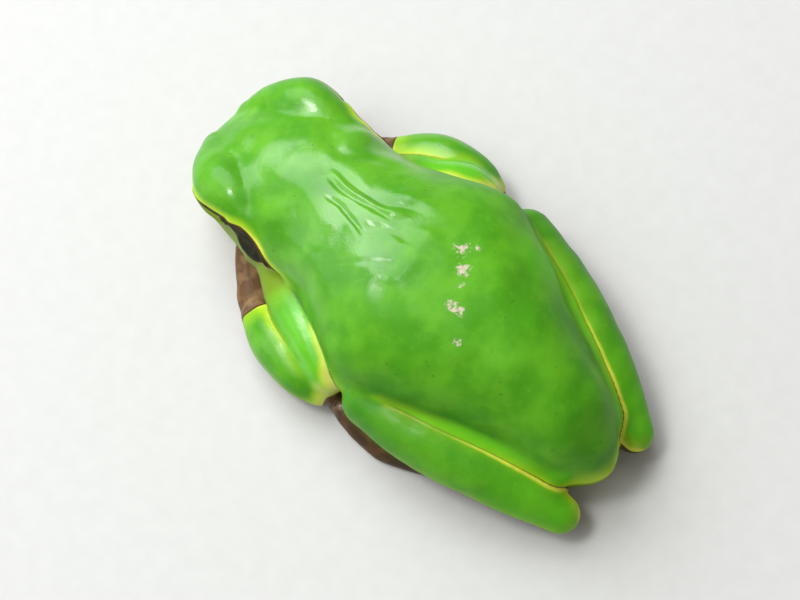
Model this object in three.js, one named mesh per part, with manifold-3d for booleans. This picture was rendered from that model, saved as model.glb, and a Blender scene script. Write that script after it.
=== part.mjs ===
// A small green tree frog at rest, life size: belly and chin on the ground, limbs drawn in, eyes closed.
// Millimetres, +Z up. The frog looks along -Y, its left side is +X, and its flats lie at Z = 0.
// Each part of the body is one closed solid, and neighbours stand a thin cut apart.
import * as THREE from 'three';
import { mergeVertices } from 'three/addons/utils/BufferGeometryUtils.js';
import Module from 'manifold-3d';

const wasm = await Module();
wasm.setup();

// ---- Driving dimensions -------------------------------------------------------------------------

const cut = 0.3; // width of the cut between two neighbours
const bodyLength = 34; // vent to the tip of the snout, along the ground
const flankHalfWidth = 8.2; // widest place of the trunk, just ahead of the knees
const backHeight = 11.2; // top of the hump over the hips
const headHalfWidth = 5.45; // across the jaw angles
const snoutRound = 3.0; // length of the rounded front of the snout
const rumpRound = 3.4; // length of the rounded end of the rump
const rumpShift = 0.9; // the rump lies a little to the frog's left
const shiftStart = 14; // ahead of this the back is straight
const shiftPower = 1.3;

const bodySides = 24; // facets round the trunk and head, and from end to end
const bodyRings = 19;

const flatDepth = 0.35; // the flat under the belly and chin is cut this deep into the round

const neckCutAt = 23.2; // the head is parted from the trunk here
const neckCutTilt = 0.18; // the cut leans back towards the nape
const mouthFront = 1.95; // height of the mouth line at the snout
const mouthSlope = 0.05; // its rise for each millimetre back
const mouthCorner = 25.4; // the mouth line ends below the eardrum

const eyeAt = { forward: 29.6, side: 3.6, height: 5.4 };
const eyeRadius = 1.5;
const lidThickness = 0.35;
const slitHalfHeight = 0.34; // the lids are nearly shut
const slitDrop = 0.35; // the slit lies a little below the middle of the eye

const eardrumAt = { forward: 26.35, side: 5.2, height: 5.1 };
const eardrumRadius = 0.8;
const eardrumDepth = 0.55;

const fingerLengths = [3.0, 3.6, 4.4, 3.8]; // first (inner) to fourth (outer)
const toeLengths = [2.6, 3.5, 4.8, 6.0, 5.0]; // first (inner) to fifth (outer)
const digitRadius = 0.4;
const fingerDiscRadius = 0.72;
const toeDiscRadius = 0.66;

// Sections of the trunk and head, from the vent forward: half width, height of the crown, height of the
// widest place, and how square the section is (2 is an ellipse).
const sections = [
  { at: 0, half: 2.3, crown: 7.2, level: 3.6, square: 2.1 },
  { at: 4, half: 3.7, crown: 9.3, level: 3.7, square: 2.1 },
  { at: 8, half: 5.2, crown: 10.7, level: 3.7, square: 2.1 },
  { at: 12, half: 7.0, crown: backHeight, level: 3.8, square: 2.15 },
  { at: 16, half: flankHalfWidth, crown: 11.0, level: 3.9, square: 2.2 },
  { at: 19.5, half: 7.0, crown: 10.4, level: 4.0, square: 2.25 },
  { at: 22.5, half: 5.7, crown: 9.7, level: 3.9, square: 2.4 },
  { at: 26, half: headHalfWidth, crown: 8.8, level: 3.8, square: 2.7 },
  { at: 29.4, half: 5.0, crown: 7.6, level: 3.5, square: 2.7 },
  { at: 32, half: 4.45, crown: 6.0, level: 3.0, square: 2.4 },
  { at: 34, half: 3.7, crown: 5.0, level: 2.7, square: 2.2 },
];

// ---- Materials ----------------------------------------------------------------------------------

function skin(color, roughness = 0.35) {
  return new THREE.MeshStandardMaterial({ color, roughness, metalness: 0 });
}

const materials = {
  green: skin(0x5fae1e),
  limb: skin(0x6db52a),
  jaw: skin(0xd9d39a, 0.5),
  brown: skin(0x6b4a35, 0.45),
  eardrum: skin(0x4a3a28, 0.4),
  eye: skin(0x1a120a, 0.08),
};

// ---- Solids -------------------------------------------------------------------------------------

function toSolid(geometry) {
  const bare = geometry.clone();
  bare.deleteAttribute('normal');
  bare.deleteAttribute('uv');
  const merged = mergeVertices(bare, 1e-5);
  return new wasm.Manifold(new wasm.Mesh({
    numProp: 3,
    vertProperties: new Float32Array(merged.attributes.position.array),
    triVerts: new Uint32Array(merged.index.array),
  }));
}

function toMesh(name, solid, material) {
  const { vertProperties, triVerts, numProp } = solid.getMesh();
  const positions = new Float32Array((vertProperties.length / numProp) * 3);
  for (let i = 0; i < positions.length / 3; i += 1) {
    positions.set(vertProperties.slice(i * numProp, i * numProp + 3), i * 3);
  }
  const geometry = new THREE.BufferGeometry();
  geometry.setAttribute('position', new THREE.BufferAttribute(positions, 3));
  geometry.setIndex(new THREE.BufferAttribute(new Uint32Array(triVerts), 1));
  geometry.computeVertexNormals();
  const mesh = new THREE.Mesh(geometry, material.clone());
  mesh.name = name;
  return mesh;
}

function boxSolid(low, high) {
  const size = high.clone().sub(low);
  const geometry = new THREE.BoxGeometry(size.x, size.y, size.z);
  const middle = low.clone().add(high).multiplyScalar(0.5);
  return toSolid(geometry.translate(middle.x, middle.y, middle.z));
}

// A place on the frog: forward from the vent, to the side (left is positive) and up.
function place(forward, side, height) {
  return new THREE.Vector3(side, -forward, height);
}

// ---- Trunk and head -----------------------------------------------------------------------------

function sectionAt(forward) {
  const last = sections.length - 1;
  let i = 0;
  while (i < last - 1 && sections[i + 1].at < forward) i += 1;
  const [before, from, to, after] = [i - 1, i, i + 1, i + 2].map(
    (k) => sections[Math.min(Math.max(k, 0), last)],
  );
  const t = (forward - from.at) / (to.at - from.at);
  const blend = (key) => {
    const slopeFrom = (to[key] - before[key]) / (to.at - before.at);
    const slopeTo = (after[key] - from[key]) / (after.at - from.at);
    const span = to.at - from.at;
    const rest = 1 - t;
    return from[key] * rest * rest * (1 + 2 * t) + to[key] * t * t * (3 - 2 * t)
      + span * (slopeFrom * t * rest * rest - slopeTo * t * t * rest);
  };
  return { half: blend('half'), crown: blend('crown'), level: blend('level'), square: blend('square') };
}

// 0 at the very end of the body, rising to 1 where its rounded end stops.
function roundedEnd(distance, length) {
  const u = THREE.MathUtils.clamp(1 - distance / length, 0, 1);
  return Math.sqrt(1 - u * u);
}

function middleAt(forward) {
  const u = THREE.MathUtils.clamp(1 - forward / shiftStart, 0, 1);
  return rumpShift * u ** shiftPower;
}

function superellipse(angle, square) {
  const bend = (value) => Math.sign(value) * Math.abs(value) ** (2 / square);
  return { across: bend(Math.cos(angle)), up: bend(Math.sin(angle)) };
}

// A globe whose poles are the vent and the snout, drawn out into the body.
function bodySolid(grow) {
  const globe = new THREE.SphereGeometry(1, bodySides, bodyRings);
  const points = globe.attributes.position;
  for (let i = 0; i < points.count; i += 1) {
    const along = points.getY(i);
    const angle = Math.atan2(points.getZ(i), points.getX(i));
    const forward = (bodyLength * (along + 1)) / 2;
    const { half, crown, level, square } = sectionAt(forward);
    const end = Math.min(
      roundedEnd(forward, rumpRound),
      roundedEnd(bodyLength - forward, snoutRound),
    );
    const { across, up } = superellipse(angle, square);
    const reach = up > 0 ? crown - level : level + flatDepth;
    const stretch = 1 + (2 * grow) / bodyLength;
    const y = bodyLength / 2 + (forward - bodyLength / 2) * stretch;
    const pole = Math.abs(along) > 0.99999 ? 0 : 1;
    const corner = place(
      y,
      middleAt(forward) + pole * across * (half * end + grow),
      level + pole * up * (reach * end + grow),
    );
    points.setXYZ(i, corner.x, corner.y, corner.z);
  }
  return toSolid(flipIfInside(globe));
}

function flipIfInside(geometry) {
  const index = geometry.index.array;
  const points = geometry.attributes.position;
  const [a, b, c] = [0, 0, 0].map(() => new THREE.Vector3());
  let volume = 0;
  for (let i = 0; i < index.length; i += 3) {
    a.fromBufferAttribute(points, index[i]);
    b.fromBufferAttribute(points, index[i + 1]);
    c.fromBufferAttribute(points, index[i + 2]);
    volume += a.dot(b.cross(c));
  }
  if (volume < 0) {
    for (let i = 0; i < index.length; i += 3) {
      [index[i + 1], index[i + 2]] = [index[i + 2], index[i + 1]];
    }
  }
  return geometry;
}

// ---- Limbs --------------------------------------------------------------------------------------

// A capsule bent along a curve. Each knot gives a place on the curve and the half width and half height
// of the limb there.
function limbSolid(knots, grow, sides = 10, steps = 5, capRings = 2) {
  const curve = new THREE.CatmullRomCurve3(knots.map((k) => place(...k.place)));
  const girth = new THREE.CatmullRomCurve3(knots.map((k) => new THREE.Vector3(k.half, k.thick, 0)));
  const capsule = new THREE.CapsuleGeometry(1, 2, capRings, sides, steps);
  const points = capsule.attributes.position;
  for (let i = 0; i < points.count; i += 1) {
    const along = points.getY(i);
    const level = THREE.MathUtils.clamp(along, -1, 1);
    const t = (level + 1) / 2;
    const centre = curve.getPoint(t);
    const tangent = curve.getTangent(t);
    const across = new THREE.Vector3(0, 0, 1).cross(tangent).normalize();
    const up = tangent.clone().cross(across);
    const { x: half, y: thick } = girth.getPoint(t);
    centre.addScaledVector(tangent, (along - level) * (Math.min(half, thick) + grow));
    centre.addScaledVector(across, points.getX(i) * (half + grow));
    centre.addScaledVector(up, points.getZ(i) * (thick + grow));
    points.setXYZ(i, centre.x, centre.y, centre.z);
  }
  return toSolid(flipIfInside(capsule));
}

function knot(forward, side, height, half, thick = half) {
  return { place: [forward, middleAt(forward) + side, height], half, thick };
}

// Fingers or toes, fanned out from the front of a palm or sole, each ending in a round disc.
function digits(root, heading, spread, lengths, discRadius, grow) {
  return lengths.map((length, i) => {
    const middle = (lengths.length - 1) / 2;
    const turn = heading + (spread * (i - middle)) / middle;
    const start = root.offset * (i - middle);
    const base = [root.forward - start * Math.sin(heading), root.side + start * Math.cos(heading)];
    const along = (distance, bend) => [
      base[0] + distance * Math.cos(turn + bend),
      base[1] + distance * Math.sin(turn + bend),
    ];
    const knots = [
      knot(...along(0, 0), 0.5, digitRadius),
      knot(...along(length * 0.45, root.curl * 0.4), 0.38, digitRadius * 0.9),
      knot(...along(length - discRadius, root.curl), 0.32, digitRadius * 0.85),
      knot(...along(length, root.curl), 0.3, discRadius, digitRadius * 0.9),
    ];
    return limbSolid(knots, grow, 6, 4, 1);
  });
}

function joined(solids) {
  return solids.reduce((whole, next) => whole.add(next));
}

// ---- The limbs of one side ----------------------------------------------------------------------

// The pose differs a little from side to side: out is how far a limb stands from the body.
function limbsOf(side, out) {
  const s = side;
  const hand = (grow) => {
    const palm = limbSolid([
      knot(23.8, s * (7.3 + out.arm), 1.0, 1.15, 0.85),
      knot(24.9, s * (6.5 + out.arm), 0.8, 1.3, 0.7),
      knot(25.6, s * (5.4 + out.arm), 0.6, 1.25, 0.6),
    ], grow, 8, 4);
    const root = { forward: 25.6, side: s * (5.3 + out.arm), offset: s * 0.5, curl: s * -0.2 };
    const fingers = digits(root, s * -1.15, s * 0.45, fingerLengths, fingerDiscRadius, grow);
    return joined([palm, ...fingers]);
  };
  const forearm = (grow) => limbSolid([
    knot(16.9, s * (8.5 + out.arm), 1.75, 1.15, 1.35),
    knot(18.9, s * (8.75 + out.arm), 1.75, 1.4, 1.5),
    knot(21.4, s * (8.45 + out.arm), 1.6, 1.35, 1.4),
    knot(23.9, s * (7.6 + out.arm), 1.1, 0.95, 0.95),
  ], grow);
  const upperArm = (grow) => limbSolid([
    knot(22.2, s * 5.2, 3.9, 1.45, 1.8),
    knot(20.0, s * 6.5, 3.7, 1.35, 1.7),
    knot(18.3, s * (7.4 + out.arm * 0.5), 3.0, 1.25, 1.55),
    knot(17.0, s * (8.0 + out.arm), 2.3, 1.15, 1.35),
  ], grow);
  const foot = (grow) => {
    const sole = limbSolid([
      knot(7.4, s * 6.75, 0.75, 0.85, 0.8),
      knot(9.4, s * 7.75, 0.65, 1.0, 0.7),
      knot(11.6, s * 8.35, 0.6, 1.15, 0.6),
    ], grow, 8, 5);
    const root = { forward: 11.7, side: s * 8.4, offset: s * 0.45, curl: s * -0.3 };
    const toes = digits(root, s * 0.03, s * 0.18, toeLengths, toeDiscRadius, grow);
    return joined([sole, ...toes]);
  };
  const tarsus = (grow) => limbSolid([
    knot(0.3, s * 2.9, 1.1, 0.95, 1.0),
    knot(2.4, s * 4.3, 0.95, 0.95, 0.95),
    knot(4.9, s * 5.6, 0.85, 0.85, 0.85),
    knot(7.4, s * 6.75, 0.8, 0.85, 0.8),
  ], grow, 8, 6);
  const shank = (grow) => limbSolid([
    knot(14.2, s * 7.65, 3.3, 1.45, 1.8),
    knot(10.2, s * (6.9 + out.leg), 3.3, 1.7, 2.1),
    knot(5.0, s * (5.3 + out.leg), 2.9, 1.6, 1.9),
    knot(0.6, s * 3.15, 1.75, 1.1, 1.2),
  ], grow, 10, 7);
  const thigh = (grow) => limbSolid([
    knot(3.0, s * 1.9, 4.2, 1.8, 2.2),
    knot(6.5, s * 3.5, 4.3, 2.0, 2.4),
    knot(10.5, s * 5.4, 4.1, 1.9, 2.3),
    knot(14.2, s * 7.2, 3.7, 1.3, 1.8),
  ], grow, 9, 6);
  // One smooth hollow over a whole hand or foot parts what rests on it, not a groove for each digit.
  const overHand = (grow) => limbSolid([
    knot(23.8, s * (7.3 + out.arm), 0.9, 1.25, 0.95),
    knot(25.6, s * (5.4 + out.arm), 0.55, 2.1, 0.9),
    knot(26.2, s * 3.4, 0.35, 3.2, 1.05),
    knot(26.4, s * -0.8, 0.3, 3.3, 1.05),
  ], grow, 8, 5);
  const overFoot = (grow) => limbSolid([
    knot(7.4, s * 6.75, 0.75, 0.95, 0.85),
    knot(11.6, s * 8.35, 0.55, 1.5, 0.9),
    knot(14.6, s * 8.2, 0.35, 2.4, 1.0),
    knot(17.2, s * 7.5, 0.3, 2.5, 1.0),
  ], grow, 8, 6);
  return {
    hand: { shape: hand, cover: overHand },
    foot: { shape: foot, cover: overFoot },
    tarsus: { shape: tarsus },
    forearm: { shape: forearm },
    shank: { shape: shank },
    upper_arm: { shape: upperArm },
    thigh: { shape: thigh },
  };
}

// ---- Eyes, eardrums and the cuts of the head ----------------------------------------------------

function ball(centre, radius, sides = 12) {
  const globe = new THREE.SphereGeometry(radius, sides, Math.round(sides * 0.6));
  return toSolid(globe.translate(centre.x, centre.y, centre.z));
}

function eyeCentre(side) {
  return place(eyeAt.forward, side * eyeAt.side, eyeAt.height);
}

// The brow: a soft ridge from over the eardrum, across the closed lids and on to the nostril.
function browSolid(side) {
  return limbSolid([
    knot(26.0, side * 4.0, 5.4, 1.3, 1.7),
    knot(28.0, side * 3.75, 5.5, 1.7, 1.95),
    knot(30.0, side * 3.4, 5.3, 2.05, 2.05),
    knot(31.6, side * 2.6, 4.5, 1.65, 1.6),
    knot(32.8, side * 1.6, 3.7, 1.0, 1.1),
  ], 0, 8, 6);
}

// The slit between the lids: a thin lens that runs out of the head beside the eye.
function slitSolid(side) {
  const lens = new THREE.SphereGeometry(1, 12, 6);
  lens.scale(eyeRadius + lidThickness + 0.5, eyeRadius * 0.95, slitHalfHeight);
  const centre = eyeCentre(side);
  lens.translate(centre.x + side * 1.3, centre.y, centre.z - slitDrop);
  return toSolid(lens);
}

function eardrumSolid(side, grow) {
  const disc = new THREE.CylinderGeometry(eardrumRadius + grow, eardrumRadius + grow, 1, 14);
  disc.scale(1, eardrumDepth + grow, 1);
  disc.rotateZ(Math.PI / 2);
  const centre = place(eardrumAt.forward, side * eardrumAt.side, eardrumAt.height);
  return toSolid(disc.translate(centre.x, centre.y, centre.z));
}

// Everything on the far side of a plane, as a large box. The plane passes through a point, moved along its
// normal by the given distance.
function beyond(point, normal, distance) {
  const span = 120;
  const box = new THREE.BoxGeometry(span, span, span).translate(0, 0, span / 2 + distance);
  box.applyQuaternion(new THREE.Quaternion().setFromUnitVectors(new THREE.Vector3(0, 0, 1), normal));
  return toSolid(box.translate(point.x, point.y, point.z));
}

// ---- Assembly -----------------------------------------------------------------------------------

const group = new THREE.Group();
const aboveGround = boxSolid(new THREE.Vector3(-40, -60, 0), new THREE.Vector3(40, 30, 40));
const sides = [
  { name: 'left', sign: 1, out: { arm: 0, leg: 0.2 } },
  { name: 'right', sign: -1, out: { arm: 0.1, leg: -0.15 } },
];

// Parts made first stay whole, and each later one gives way to them by the width of the cut.
const grown = [];
const finished = [];

function without(solid, others) {
  return others.reduce((rest, other) => rest.subtract(other), solid);
}

const brownLimbs = ['hand', 'foot', 'tarsus'];
const limbs = sides.map(({ sign, out }) => limbsOf(sign, out));
for (const limb of Object.keys(limbs[0])) {
  const material = brownLimbs.includes(limb) ? materials.brown : materials.limb;
  const taken = [...grown];
  sides.forEach(({ name }, i) => {
    const { shape, cover = shape } = limbs[i][limb];
    const solid = without(shape(0).intersect(aboveGround), taken);
    finished.push({ name: `${limb}_${name}`, solid, material });
    grown.push(cover(cut));
  });
}

// The head grows a bulge over each eye, which the nearly closed lids cover.
let body = bodySolid(0);
for (const { sign } of sides) {
  body = body.add(ball(eyeCentre(sign), eyeRadius + cut + lidThickness)).add(browSolid(sign));
}
body = body.intersect(aboveGround);
for (const { name, sign } of sides) {
  finished.push({ name: `eye_${name}`, solid: ball(eyeCentre(sign), eyeRadius), material: materials.eye });
  const drum = eardrumSolid(sign, 0).intersect(bodySolid(-0.05));
  finished.push({ name: `eardrum_${name}`, solid: drum, material: materials.eardrum });
  body = body.subtract(ball(eyeCentre(sign), eyeRadius + cut)).subtract(slitSolid(sign));
  body = body.subtract(eardrumSolid(sign, cut));
}
body = without(body, grown);

const neckPoint = place(neckCutAt, 0, 0);
const forwards = new THREE.Vector3(0, -1, -neckCutTilt).normalize();
const head = body.intersect(beyond(neckPoint, forwards, cut / 2));
const trunk = body.intersect(beyond(neckPoint, forwards.clone().negate(), cut / 2));

// The lower jaw lies under the mouth line and ahead of the mouth corner.
const mouthPoint = place(bodyLength, 0, mouthFront);
const downwards = new THREE.Vector3(0, mouthSlope, -1).normalize();
const cornerPoint = place(mouthCorner, 0, 0);
const ahead = new THREE.Vector3(0, -1, 0);
const mouthSpace = (distance) => beyond(mouthPoint, downwards, distance)
  .intersect(beyond(cornerPoint, ahead, distance));
const lowerJaw = head.intersect(mouthSpace(cut / 2));
const upperHead = head.subtract(mouthSpace(-cut / 2));

finished.push({ name: 'trunk', solid: trunk, material: materials.green });
finished.push({ name: 'head', solid: upperHead, material: materials.green });
finished.push({ name: 'lower_jaw', solid: lowerJaw, material: materials.jaw });

for (const { name, solid, material } of finished) group.add(toMesh(name, solid, material));

// The origin lies on the ground under the middle of the frog's box.
const middle = new THREE.Box3().setFromObject(group).getCenter(new THREE.Vector3());
group.position.set(-middle.x, -middle.y, 0);

export default group;
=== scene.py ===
import math
import time

import bmesh
import bpy
import numpy as np
from mathutils import Matrix, Vector


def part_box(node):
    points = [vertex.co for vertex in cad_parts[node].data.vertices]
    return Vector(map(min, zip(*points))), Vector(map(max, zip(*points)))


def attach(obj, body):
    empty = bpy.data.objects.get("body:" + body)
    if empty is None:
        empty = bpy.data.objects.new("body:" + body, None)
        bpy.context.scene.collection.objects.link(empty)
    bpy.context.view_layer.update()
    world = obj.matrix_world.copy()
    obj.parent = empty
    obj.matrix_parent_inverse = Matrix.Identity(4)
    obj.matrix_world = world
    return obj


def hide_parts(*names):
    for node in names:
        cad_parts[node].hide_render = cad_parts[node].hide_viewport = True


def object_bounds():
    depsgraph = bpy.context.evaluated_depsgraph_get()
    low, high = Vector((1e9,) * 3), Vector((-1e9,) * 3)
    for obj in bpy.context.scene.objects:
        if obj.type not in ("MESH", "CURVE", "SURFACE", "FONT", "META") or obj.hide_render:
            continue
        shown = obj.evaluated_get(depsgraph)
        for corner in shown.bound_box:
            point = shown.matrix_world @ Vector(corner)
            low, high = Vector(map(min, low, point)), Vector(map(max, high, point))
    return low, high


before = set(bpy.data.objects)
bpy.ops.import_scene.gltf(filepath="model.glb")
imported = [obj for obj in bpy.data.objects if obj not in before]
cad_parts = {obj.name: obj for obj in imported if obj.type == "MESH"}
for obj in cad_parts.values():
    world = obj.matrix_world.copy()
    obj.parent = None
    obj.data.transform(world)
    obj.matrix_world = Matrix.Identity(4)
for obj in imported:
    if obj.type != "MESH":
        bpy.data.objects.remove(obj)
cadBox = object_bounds()
startTime = time.time()


def report(stage):
    print(f"frog: {stage} at {time.time() - startTime:.1f} s")


# The frog's own measure is millimetres forward from the vent, to its left side, and up from the ground.
bodyLength = 34.0
eyeBoxes = [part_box("eye_left"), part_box("eye_right")]
eyeCentres = [(low + high) / 2 for low, high in eyeBoxes]
middleX = (eyeCentres[0].x + eyeCentres[1].x) / 2 * 1000
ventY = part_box("head")[0].y * 1000 + bodyLength


def toFrame(points):
    points = np.atleast_2d(points)
    return np.stack([middleX + points[:, 1], ventY - points[:, 0], points[:, 2]], 1) / 1000


def toFrog(points):
    points = np.atleast_2d(points) * 1000
    return np.stack([ventY - points[:, 1], points[:, 0] - middleX, points[:, 2]], 1)


# Smooth curves and steps
def through(values, t):  # a smooth curve through rows of values, t from 0 to 1
    values = np.asarray(values, float)
    last = len(values) - 1
    place = np.clip(t, 0, 1) * last
    i = np.minimum(place.astype(int), last - 1)
    u = (place - i)[:, None]
    padded = np.vstack([2 * values[0] - values[1], values, 2 * values[-1] - values[-2]])
    a, b, c, d = padded[i], padded[i + 1], padded[i + 2], padded[i + 3]
    return 0.5 * (2 * b + (c - a) * u + (2 * a - 5 * b + 4 * c - d) * u**2 + (3 * b - a - 3 * c + d) * u**3)


def along(stations, x):  # smooth columns at x from rows of (x, value, ...), rising in x
    stations = np.asarray(stations, float)
    xs, ys = stations[:, 0], stations[:, 1:]
    slopes = np.gradient(ys, xs, axis=0)
    x = np.clip(x, xs[0], xs[-1])
    i = np.clip(np.searchsorted(xs, x, side="right") - 1, 0, len(xs) - 2)
    span = (xs[i + 1] - xs[i])[:, None]
    u = ((x - xs[i]) / span[:, 0])[:, None]
    r = 1 - u
    return (ys[i] * r**2 * (1 + 2 * u) + ys[i + 1] * u**2 * (3 - 2 * u)
            + span * (slopes[i] * u * r**2 - slopes[i + 1] * u**2 * r))


def level(stations, x):
    return along(stations, x)[:, 0]


def ease(x, low, high):  # 0 at low, 1 at high, smooth between
    u = np.clip((x - low) / (high - low), 0, 1)
    return u * u * (3 - 2 * u)


def hill(distance, width):
    return np.exp(-((distance / width) ** 2))


def gentleMin(a, b, round):
    h = np.clip(0.5 + 0.5 * (b - a) / round, 0, 1)
    return b + (a - b) * h - round * h * (1 - h)


# The trunk and head as one long globe
body = {
    # forward, half width, crown height, height of the widest place, underside height, squareness
    "sections": [
        (0, 2.3, 7.2, 3.6, -0.3, 2.1),
        (4, 3.7, 9.3, 3.7, -0.4, 2.1),
        (8, 5.2, 10.7, 3.7, -0.4, 2.1),
        (12, 7.0, 11.2, 3.8, -0.4, 2.15),
        (16, 8.05, 11.0, 3.9, -0.4, 2.2),
        (19.5, 6.65, 10.4, 4.0, -0.3, 2.25),
        (22.5, 5.6, 9.7, 3.9, 0.3, 2.3),
        (26, 5.65, 8.8, 3.6, 0.8, 2.2),
        (29.4, 5.05, 7.5, 3.4, 0.5, 2.4),
        (32, 4.45, 6.0, 3.0, -0.2, 2.4),
        (34, 3.7, 5.0, 2.7, 0.3, 2.2),
    ],
    "rumpRound": 3.4, "snoutRound": 3.0,
    "rumpShift": 0.9, "shiftStart": 14.0, "shiftPower": 1.3,
    "rings": 150, "sides": 110,
}


def middleAt(forward):
    return body["rumpShift"] * np.clip(1 - forward / body["shiftStart"], 0, 1) ** body["shiftPower"]


def bodySection(forward):
    half, crown, wide, under, square = along(body["sections"], forward).T
    endRump = 1 - np.clip(1 - forward / body["rumpRound"], 0, 1) ** 2
    endSnout = 1 - np.clip(1 - (bodyLength - forward) / body["snoutRound"], 0, 1) ** 2
    return half, crown, wide, under, square, np.sqrt(np.clip(np.minimum(endRump, endSnout), 0, 1))


def bodyLoft():
    rings, around = body["rings"], body["sides"]
    forward = bodyLength * (1 - np.cos(np.linspace(0, math.pi, rings))) / 2
    angle = np.linspace(0, 2 * math.pi, around, endpoint=False)
    half, crown, wide, under, square, end = [v[:, None] for v in bodySection(forward)]
    c, s = np.cos(angle)[None], np.sin(angle)[None]
    across = np.sign(c) * np.abs(c) ** (2 / square)
    up = np.sign(s) * np.abs(s) ** (2 / square)
    reach = np.where(up > 0, crown - wide, wide - under)
    return gridFaces(np.stack([
        np.broadcast_to(forward[:, None], (rings, around)),
        middleAt(forward)[:, None] + across * half * end,
        wide + up * reach * end,
    ], axis=2))


def gridFaces(points):  # rings of points, closed round and shut at both ends by a fan
    rings, around = points.shape[:2]
    index = np.arange(rings * around).reshape(rings, around)
    a, b = index[:-1], index[1:]
    quads = np.stack([a, np.roll(a, -1, 1), np.roll(b, -1, 1), b], 2).reshape(-1, 4).tolist()
    start = rings * around
    quads += [[start, int(j), int(i)] for i, j in zip(index[0], np.roll(index[0], -1))]
    quads += [[start + 1, int(i), int(j)] for i, j in zip(index[-1], np.roll(index[-1], -1))]
    return np.vstack([points.reshape(-1, 3), points[0].mean(0), points[-1].mean(0)]), quads


# Limbs: bars bent through knots of (forward, side, height, half width, half thickness), given for the left
limbs = {
    "palm": [(23.8, 7.3, 1.0, 1.15, 0.85), (24.9, 6.5, 0.85, 1.3, 0.75), (25.6, 5.4, 0.6, 1.25, 0.6)],
    "forearm": [(17.4, 8.4, 1.8, 1.3, 1.4), (18.9, 8.6, 1.9, 1.5, 1.6), (21.4, 8.25, 1.85, 1.6, 1.6),
                (23.7, 7.45, 1.25, 1.2, 1.05)],
    "upperArm": [(24.6, 4.3, 3.3, 1.5, 1.5), (22.3, 5.7, 3.4, 1.65, 1.75), (20.2, 6.5, 3.5, 1.6, 1.8),
                 (18.5, 7.2, 3.3, 1.5, 1.75), (17.3, 7.75, 2.7, 1.25, 1.5)],
    "sole": [(7.4, 6.75, 0.75, 0.85, 0.8), (9.4, 7.75, 0.65, 1.0, 0.7), (11.6, 8.35, 0.6, 1.15, 0.6)],
    "tarsus": [(1.3, 3.2, 0.95, 0.8, 0.85), (2.4, 4.3, 0.95, 0.95, 0.95), (4.9, 5.6, 0.85, 0.85, 0.85),
               (7.4, 6.75, 0.8, 0.85, 0.8)],
    "shank": [(14.2, 7.65, 3.3, 1.45, 1.8), (10.2, 6.6, 3.3, 1.9, 2.25), (5.0, 4.85, 2.9, 1.9, 2.1),
              (0.85, 3.45, 1.85, 1.3, 1.4)],
    "thigh": [(3.0, 1.6, 3.95, 1.8, 2.2), (6.5, 3.2, 4.0, 1.95, 2.3), (10.5, 5.3, 3.8, 1.85, 2.25),
              (14.2, 7.1, 3.5, 1.3, 1.8)],
    "brow": [(26.0, 4.0, 5.4, 1.3, 1.7), (28.0, 3.75, 5.5, 1.7, 1.9), (29.9, 3.5, 5.35, 2.0, 2.0),
             (31.6, 2.6, 4.5, 1.65, 1.6), (32.8, 1.6, 3.7, 1.0, 1.1)],
}
# how each side is held: shifts in millimetres, and cream as a factor on the width of that patch
sides = {
    "left": {"sign": 1, "arm": 0.0, "reach": 0.0, "tuck": 0.0, "brow": 0.0, "leg": 0.2, "foot": -1.1,
             "cream": 1.0},
    "right": {"sign": -1, "arm": 0.1, "reach": 1.1, "tuck": 0.6, "brow": 0.25, "leg": -0.15, "foot": -0.95,
              "cream": 1.8},
}
# limb, the shift that moves it, its way (0 forward, 1 out, 2 up), and how far each knot follows
follows = [
    ("palm", "arm", 1, (1, 1, 1)),
    ("palm", "reach", 1, (-0.9, -0.5, -0.1)),
    ("palm", "reach", 0, (0.9, 0.5, 0.1)),
    ("forearm", "arm", 1, (1, 1, 1, 1)),
    ("forearm", "reach", 1, (-0.1, -0.1, -0.4, -1)),
    ("forearm", "reach", 0, (1, 1, 1, 1)),
    ("upperArm", "arm", 1, (0, 0, 0.3, 0.6, 1)),
    ("upperArm", "tuck", 1, (-0.8, -0.8, -0.5, -0.1, 0)),
    ("upperArm", "reach", 1, (0, 0, 0, 0, -0.1)),
    ("upperArm", "reach", 0, (0, 0.2, 0.5, 0.8, 1)),
    ("upperArm", "tuck", 2, (-1, -1, -0.6, -0.1, 0)),
    ("brow", "brow", 1, (0.6, 1, 1, 0.5, 0)),
    ("shank", "leg", 1, (0, 1, 1, 1)),
    ("sole", "foot", 1, (0.3, 0.8, 1)),
    ("tarsus", "foot", 1, (0, 0, 0.1, 0.3)),
]


def limbKnots(name, side):  # the frog doesn't hold both sides quite alike
    rows = np.array(limbs[name], float)
    middle = middleAt(rows[:, 0])
    for limb, shift, way, shares in follows:
        if limb == name:
            rows[:, way] += side[shift] * np.array(shares)
    rows[:, 1] = side["sign"] * rows[:, 1] + middle
    return rows


def spineOf(knots, steps):
    centre = through(knots, np.linspace(0, 1, steps))
    tangent = np.gradient(centre[:, :3], axis=0)
    tangent /= np.linalg.norm(tangent, axis=1)[:, None]
    across = np.cross([0, 0, 1.0], tangent)
    across /= np.linalg.norm(across, axis=1)[:, None]
    return centre, tangent, across, np.cross(tangent, across)


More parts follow.
